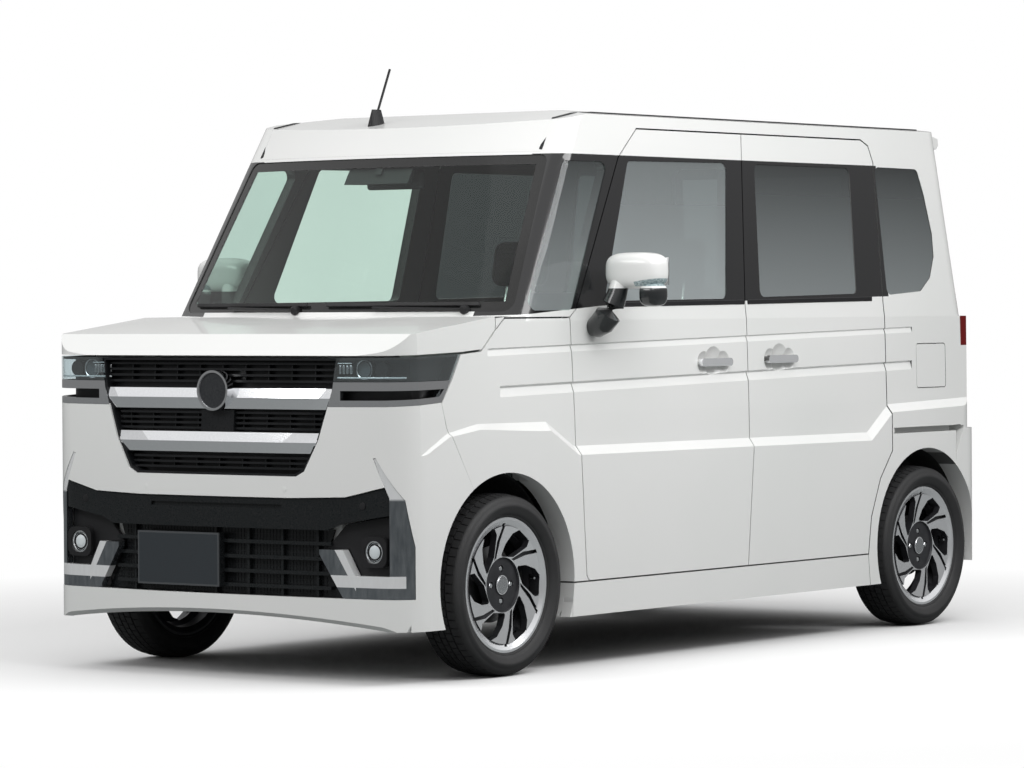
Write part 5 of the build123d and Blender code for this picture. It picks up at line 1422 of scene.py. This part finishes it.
@dataclass
class Seat:
    """Stuffed seats: slabs that are remeshed and blown up as cloth."""

    front_x: tuple[float, float] = (-0.325, 0.325)
    lean: float = math.radians(-12.0)
    tilt: float = math.radians(-3.5)
    cushion: tuple[Slab, ...] = (
        ((-0.225, -0.250, -0.055), (0.225, 0.235, 0.062), 0.040),
        ((-0.240, -0.200, -0.045), (-0.165, 0.220, 0.085), 0.030),
        ((0.165, -0.200, -0.045), (0.240, 0.220, 0.085), 0.030),
    )
    back: tuple[Slab, ...] = (
        ((-0.215, 0.000, 0.010), (0.215, 0.085, 0.560), 0.035),
        ((-0.235, -0.035, 0.060), (-0.165, 0.075, 0.420), 0.028),
        ((0.165, -0.035, 0.060), (0.235, 0.075, 0.420), 0.028),
    )
    head: tuple[Slab, ...] = (((-0.115, 0.010, 0.605), (0.115, 0.080, 0.765), 0.032),)
    bench_lean: float = math.radians(-11.0)
    bench_cushion: tuple[Slab, ...] = (((-0.515, 0.575, 0.530), (0.515, 1.075, 0.650), 0.040),)
    bench_back: tuple[Slab, ...] = (((-0.515, 0.0, 0.010), (0.515, 0.085, 0.545), 0.035),)
    bench_x: tuple[float, float] = (-0.29, 0.29)
    bench_bases: tuple[tuple[Point, Point], ...] = (
        ((-0.48, 0.600, 0.301), (0.48, 0.780, 0.545)), ((-0.48, 0.890, 0.471), (0.48, 1.090, 0.545)),
    )
    pads: list[bpy.types.Object] = field(default_factory=list)
    voxel: float = 0.012
    pressure: float = 4.0
    frames: int = 20
    swell: float = 0.018

    def stuffed(self, name: str, slabs: Sequence[Slab], turn: Matrix, shop: Workshop) -> None:
        """Makes one padded piece.

        Args:
            name: The piece's name.
            slabs: Its blocks.
            turn: How they are moved.
            shop: Where the finish comes from.
        """
        shape = Sculpt()
        for low, high, bevel in slabs:
            shape.box(low, high, bevel, turn)
        obj = shape.mesh(name, 180.0)
        remesh = obj.modifiers.new("remesh", "REMESH")
        remesh.mode = "VOXEL"
        remesh.voxel_size = self.voxel
        self.keep(obj)
        start = [vert.co.copy() for vert in obj.data.vertices]
        cloth = obj.modifiers.new("cloth", "CLOTH")
        cloth.settings.use_pressure = True
        cloth.settings.uniform_pressure_force = self.pressure
        cloth.settings.effector_weights.gravity = 0.0
        cloth.settings.tension_stiffness = 40.0
        for number in range(1, self.frames + 1):
            bpy.context.scene.frame_set(number)
        self.keep(obj)
        bpy.context.scene.frame_set(1)
        for vert, old in zip(obj.data.vertices, start):
            move = vert.co - old
            if move.length > self.swell:
                vert.co = old + move.normalized() * self.swell
        smooth = obj.modifiers.new("smooth", "SUBSURF")
        smooth.levels = 1
        smooth.render_levels = 1
        self.keep(obj)
        obj.data.shade_smooth()
        shop.place(obj, "cloth", "body")
        self.pads.append(obj)

    def keep(self, obj: bpy.types.Object) -> None:
        """Applies an object's modifiers."""
        graph = bpy.context.evaluated_depsgraph_get()
        mesh = bpy.data.meshes.new_from_object(obj.evaluated_get(graph))
        obj.modifiers.clear()
        obj.data = mesh

    def leaning(self, place: Point, angle: float) -> Matrix:
        """A place that leans about the car's width."""
        return Matrix.Translation(place) @ Matrix.Rotation(angle, 4, "X")

    def build(self, shop: Workshop) -> None:
        """Makes the front seats and the rear bench."""
        hard, posts = Sculpt(), Sculpt()
        for label, x in zip(("right", "left"), self.front_x):
            turn = self.leaning((x, 0.150, 0.620), self.lean)
            tilted = self.leaning((x, -0.110, 0.560), self.tilt)
            self.stuffed(f"seat_cushion_{label}", self.cushion, tilted, shop)
            self.stuffed(f"seat_back_{label}", self.back, turn, shop)
            self.stuffed(f"seat_headrest_{label}", self.head, turn, shop)
            hard.box((x - 0.20, -0.30, 0.301), (x + 0.20, 0.15, 0.500), 0.010)
            self.posts(posts, turn, 0.0, 0.045, (0.540, 0.640))
        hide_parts("front_seats")
        turn = self.leaning((0.0, 1.090, 0.600), self.bench_lean)
        self.stuffed("rear_bench_cushion", self.bench_cushion, Matrix(), shop)
        self.stuffed("rear_bench_back", self.bench_back, turn, shop)
        for label, x in zip(("right", "left"), self.bench_x):
            slab = ((x - 0.11, 0.010, 0.560), (x + 0.11, 0.070, 0.710), 0.028)
            self.stuffed(f"rear_headrest_{label}", (slab,), turn, shop)
            self.posts(posts, turn, x, 0.04, (0.53, 0.60))
        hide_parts("rear_seat")
        for low, high in self.bench_bases:
            hard.box(low, high, 0.010)
        shop.place(hard.mesh("seat_bases"), "cabin", "body")
        shop.place(posts.mesh("headrest_posts"), "chrome", "body")

    def posts(self, shape: Sculpt, turn: Matrix, x: float, y: float, ends: tuple[float, float]) -> None:
        """Adds the two posts of a headrest.

        Args:
            shape: Where they are added.
            turn: How they are moved.
            x: Their middle across the car.
            y: Their place along the car.
            ends: Their lower and upper end.
        """
        for offset in (-0.05, 0.05):
            shape.tube([turn @ Vector((x + offset, y, z)) for z in ends], 0.006)


@dataclass
class Cabin:
    """The dashboard's displays and vents, the gear lever and the sun visors."""

    displays: tuple[tuple[Point, Point], ...] = (
        ((-0.105, -0.668, 0.955), (0.115, -0.645, 1.075)),
        ((-0.420, -0.700, 1.040), (-0.230, -0.672, 1.085)),
    )
    vents: tuple[float, ...] = (-0.58, -0.16, 0.17, 0.58)
    slats: int = 5
    lever: tuple[Point, Point] = ((0.0, -0.655, 0.800), (0.0, -0.610, 0.860))
    visor_x: float = 0.33

    def build(self, shop: Workshop) -> None:
        """Makes the pieces."""
        trims, screens = Sculpt(), Sculpt()
        for low, high in self.displays:
            screens.box(low, high, 0.004)
        for x in self.vents:
            for step in range(self.slats):
                z = 0.955 + 0.010 * step
                trims.box((x - 0.040, -0.662, z), (x + 0.040, -0.640, z + 0.003))
        trims.tube(self.lever, 0.010)
        trims.box((-0.022, -0.628, 0.850), (0.022, -0.592, 0.905), 0.010)
        for sign in (-1, 1):
            x = sign * self.visor_x
            trims.box((x - 0.15, -0.790, 1.590), (x + 0.15, -0.640, 1.606), 0.004)
        shop.place(screens.mesh("dashboard_displays"), "display", "body")
        shop.place(trims.mesh("dashboard_trims"), "satin_black", "body")


@dataclass
class TailTrim:
    """Rear details: brake lamp in the spoiler, tailgate grip and reflectors."""

    brake: tuple[Point, Point] = ((-0.110, 1.668, 1.706), (0.110, 1.6765, 1.722))
    grip: tuple[Point, Point] = ((-0.260, 1.640, 0.930), (0.260, 1.676, 0.968))
    reflector_x: float = 0.56

    def build(self, shop: Workshop) -> None:
        """Makes the pieces."""
        red, grip, back = Sculpt(), Sculpt(), Sculpt()
        red.box(*self.brake, 0.002)
        shop.place(red.mesh("high_brake_lamp"), "red_lens", "tailgate_body")
        grip.box(*self.grip, 0.006)
        shop.place(grip.mesh("tailgate_grip"), "plated_plain", "tailgate_body")
        for sign in (-1, 1):
            x = sign * self.reflector_x
            back.box((x - 0.05, 1.650, 0.430), (x + 0.05, 1.684, 0.462), 0.004)
        shop.place(back.mesh("rear_reflectors"), "red_lens", "body")


@dataclass
class NoseTrim:
    """Fine bars over the lower intake's floor."""

    pitch: float = 0.0125
    row_pitch: float = 0.0135
    rows: int = 14
    foot: float = 0.268
    top: float = 0.462
    half_width: float = 0.405
    nose: tuple[float, float] = (-1.6975, 0.7195)
    bow: float = 0.052
    depth: float = 0.0425

    def bowed(self, x: float) -> float:
        """Where the mesh stands along the car, at a distance from its middle."""
        return self.nose[0] + self.bow * (x / self.nose[1]) ** 2 + self.depth

    def build(self, shop: Workshop) -> None:
        """Makes the bars, which follow the nose's bow."""
        shape = Sculpt()
        count = int(self.half_width / self.pitch)
        for number in range(-count, count + 1):
            x = number * self.pitch
            y = self.bowed(x)
            shape.box((x - 0.001, y, self.foot), (x + 0.001, y + 0.004, self.top))
        for row in range(self.rows):
            z = self.foot + 0.004 + row * self.row_pitch
            steps = [self.half_width * (step / 8 - 1.0) for step in range(17)]
            shape.strip([(x, self.bowed(x), z) for x in steps], (0, 0, 0.001), (0, 0.003, 0))
        shop.place(shape.mesh("intake_mesh"), "grille_black", "body")


@dataclass
class Studio:
    """The pale floor, the soft lamps and the camera at the photograph's angle."""

    floor_radius: float = 40.0
    floor_colour: Colour = (0.86, 0.86, 0.86)
    bounce_colour: Colour = (0.22, 0.23, 0.23)
    horizon_level: float = 0.20
    glow_low: float = 0.10
    glow_high: float = 0.45
    clear_radius: float = 3.1
    clear_fade: float = 1.1
    camera_place: Point = (8.5374, -11.6329, 1.1509)
    camera_target: Point = (-0.162, 0.059, 0.869)
    camera_roll: float = math.radians(-0.35)
    lens: float = 150.1
    world_level: float = 0.85
    lamps: list[tuple[str, Point, Point, float, float, float]] = field(
        default_factory=lambda: [
            ("lamp_top", (0.3, -0.3, 5.5), (0.0, 0.0, 0.0), 6.0, 4.0, 20.0),
            ("lamp_side", (2.8, -0.3, 2.7), (0.7, 0.1, 0.9), 4.5, 0.9, 70.0),
            ("lamp_front", (-0.7, -4.2, 2.9), (0.0, -1.6, 0.9), 3.0, 0.9, 45.0),
        ]
    )

    def build(self) -> None:
        """Makes everything that isn't part of the car."""
        self.build_floor()
        self.build_world()
        for row in self.lamps:
            self.build_lamp(*row)
        self.build_camera()
        bpy.context.scene.view_settings.view_transform = "Standard"

    def build_floor(self) -> None:
        """A wide round floor that turns to plain white far from the car."""
        mesh = bpy.data.meshes.new("floor")
        bm = bmesh.new()
        bmesh.ops.create_circle(bm, cap_ends=True, segments=96, radius=self.floor_radius)
        bm.to_mesh(mesh)
        bm.free()
        floor = bpy.data.objects.new("floor", mesh)
        bpy.context.scene.collection.objects.link(floor)
        graph = Graph("studio_floor")
        grey = graph.blend(
            graph.spread(graph.noise(0.6), 0.0, 1.0), self.floor_colour,
            tuple(c * 0.985 for c in self.floor_colour),
        )
        path = graph.tree.nodes.new("ShaderNodeLightPath")
        grey = graph.blend(path.outputs["Is Camera Ray"], self.bounce_colour, grey)
        diffuse = graph.add("ShaderNodeBsdfDiffuse", Color=grey)
        white = graph.add("ShaderNodeEmission", Color=(1.0, 1.0, 1.0), Strength=1.0)
        length = graph.vectors("LENGTH", graph.place)
        far = graph.above(length.outputs["Value"], self.clear_radius, self.clear_fade)
        seen = graph.both(far, path.outputs["Is Camera Ray"])
        mix = graph.add("ShaderNodeMixShader", Fac=seen)
        graph.tree.links.new(diffuse.outputs[0], mix.inputs[1])
        graph.tree.links.new(white.outputs[0], mix.inputs[2])
        graph.tree.links.new(mix.outputs[0], graph.output.inputs["Surface"])
        mesh.materials.append(graph.material)

    def build_world(self) -> None:
        """A pale room, darker near the horizon, and white where it is seen."""
        world = bpy.data.worlds.new("pale_room")
        bpy.context.scene.world = world
        world.use_nodes = True
        tree = world.node_tree
        tree.nodes.clear()
        output = tree.nodes.new("ShaderNodeOutputWorld")
        path = tree.nodes.new("ShaderNodeLightPath")
        room = tree.nodes.new("ShaderNodeBackground")
        room.inputs["Color"].default_value = (1.0, 1.0, 1.0, 1.0)
        way = tree.nodes.new("ShaderNodeTexCoord")
        split = tree.nodes.new("ShaderNodeSeparateXYZ")
        tree.links.new(way.outputs["Generated"], split.inputs[0])
        level = tree.nodes.new("ShaderNodeMapRange")
        level.inputs["From Min"].default_value = self.glow_low
        level.inputs["From Max"].default_value = self.glow_high
        level.inputs["To Min"].default_value = self.horizon_level
        level.inputs["To Max"].default_value = self.world_level
        tree.links.new(split.outputs["Z"], level.inputs["Value"])
        tree.links.new(level.outputs["Result"], room.inputs["Strength"])
        white = tree.nodes.new("ShaderNodeBackground")
        white.inputs["Color"].default_value = (1.0, 1.0, 1.0, 1.0)
        mix = tree.nodes.new("ShaderNodeMixShader")
        tree.links.new(path.outputs["Is Camera Ray"], mix.inputs[0])
        tree.links.new(room.outputs[0], mix.inputs[1])
        tree.links.new(white.outputs[0], mix.inputs[2])
        tree.links.new(mix.outputs[0], output.inputs["Surface"])

    def build_lamp(
        self, name: str, place: Point, target: Point, width: float, height: float, power: float
    ) -> None:
        """One soft lamp.

        Args:
            name: The lamp's name.
            place: Where it hangs.
            target: The point that it lights.
            width: Its width.
            height: Its height.
            power: Its power in watts.
        """
        data = bpy.data.lights.new(name, "AREA")
        data.shape = "RECTANGLE"
        data.size = width
        data.size_y = height
        data.energy = power
        lamp = bpy.data.objects.new(name, data)
        bpy.context.scene.collection.objects.link(lamp)
        lamp.location = place
        lamp.visible_camera = False
        lamp.rotation_euler = (Vector(target) - Vector(place)).to_track_quat("-Z", "Y").to_euler()

    def build_camera(self) -> None:
        """The camera, level with the photograph's."""
        data = bpy.data.cameras.new("camera")
        data.lens = self.lens
        data.sensor_width = 36.0
        data.clip_end = 200.0
        camera = bpy.data.objects.new("camera", data)
        bpy.context.scene.collection.objects.link(camera)
        look = (Vector(self.camera_target) - Vector(self.camera_place)).to_track_quat("-Z", "Y")
        turn = look.to_matrix().to_4x4() @ Matrix.Rotation(self.camera_roll, 4, "Z")
        camera.matrix_world = Matrix.Translation(self.camera_place) @ turn
        bpy.context.scene.camera = camera


def main() -> None:
    """Builds the looks in order and reports each part."""
    logging.basicConfig(level=logging.INFO, format="%(message)s")
    shop = Workshop()
    shop.dress_nodes()
    repeats = Repeats()
    for maker in (Tyre(), WheelTrim()):
        maker.build(shop, repeats)
        LOG.info("built %s", type(maker).__name__)
    for maker in (Lamps(), Glazing(), Mirrors(), NoseTrim(), TailTrim(), Cabin(), Seat()):
        maker.build(shop)
        LOG.info("built %s", type(maker).__name__)
    Studio().build()


if __name__ == "__main__":
    main()
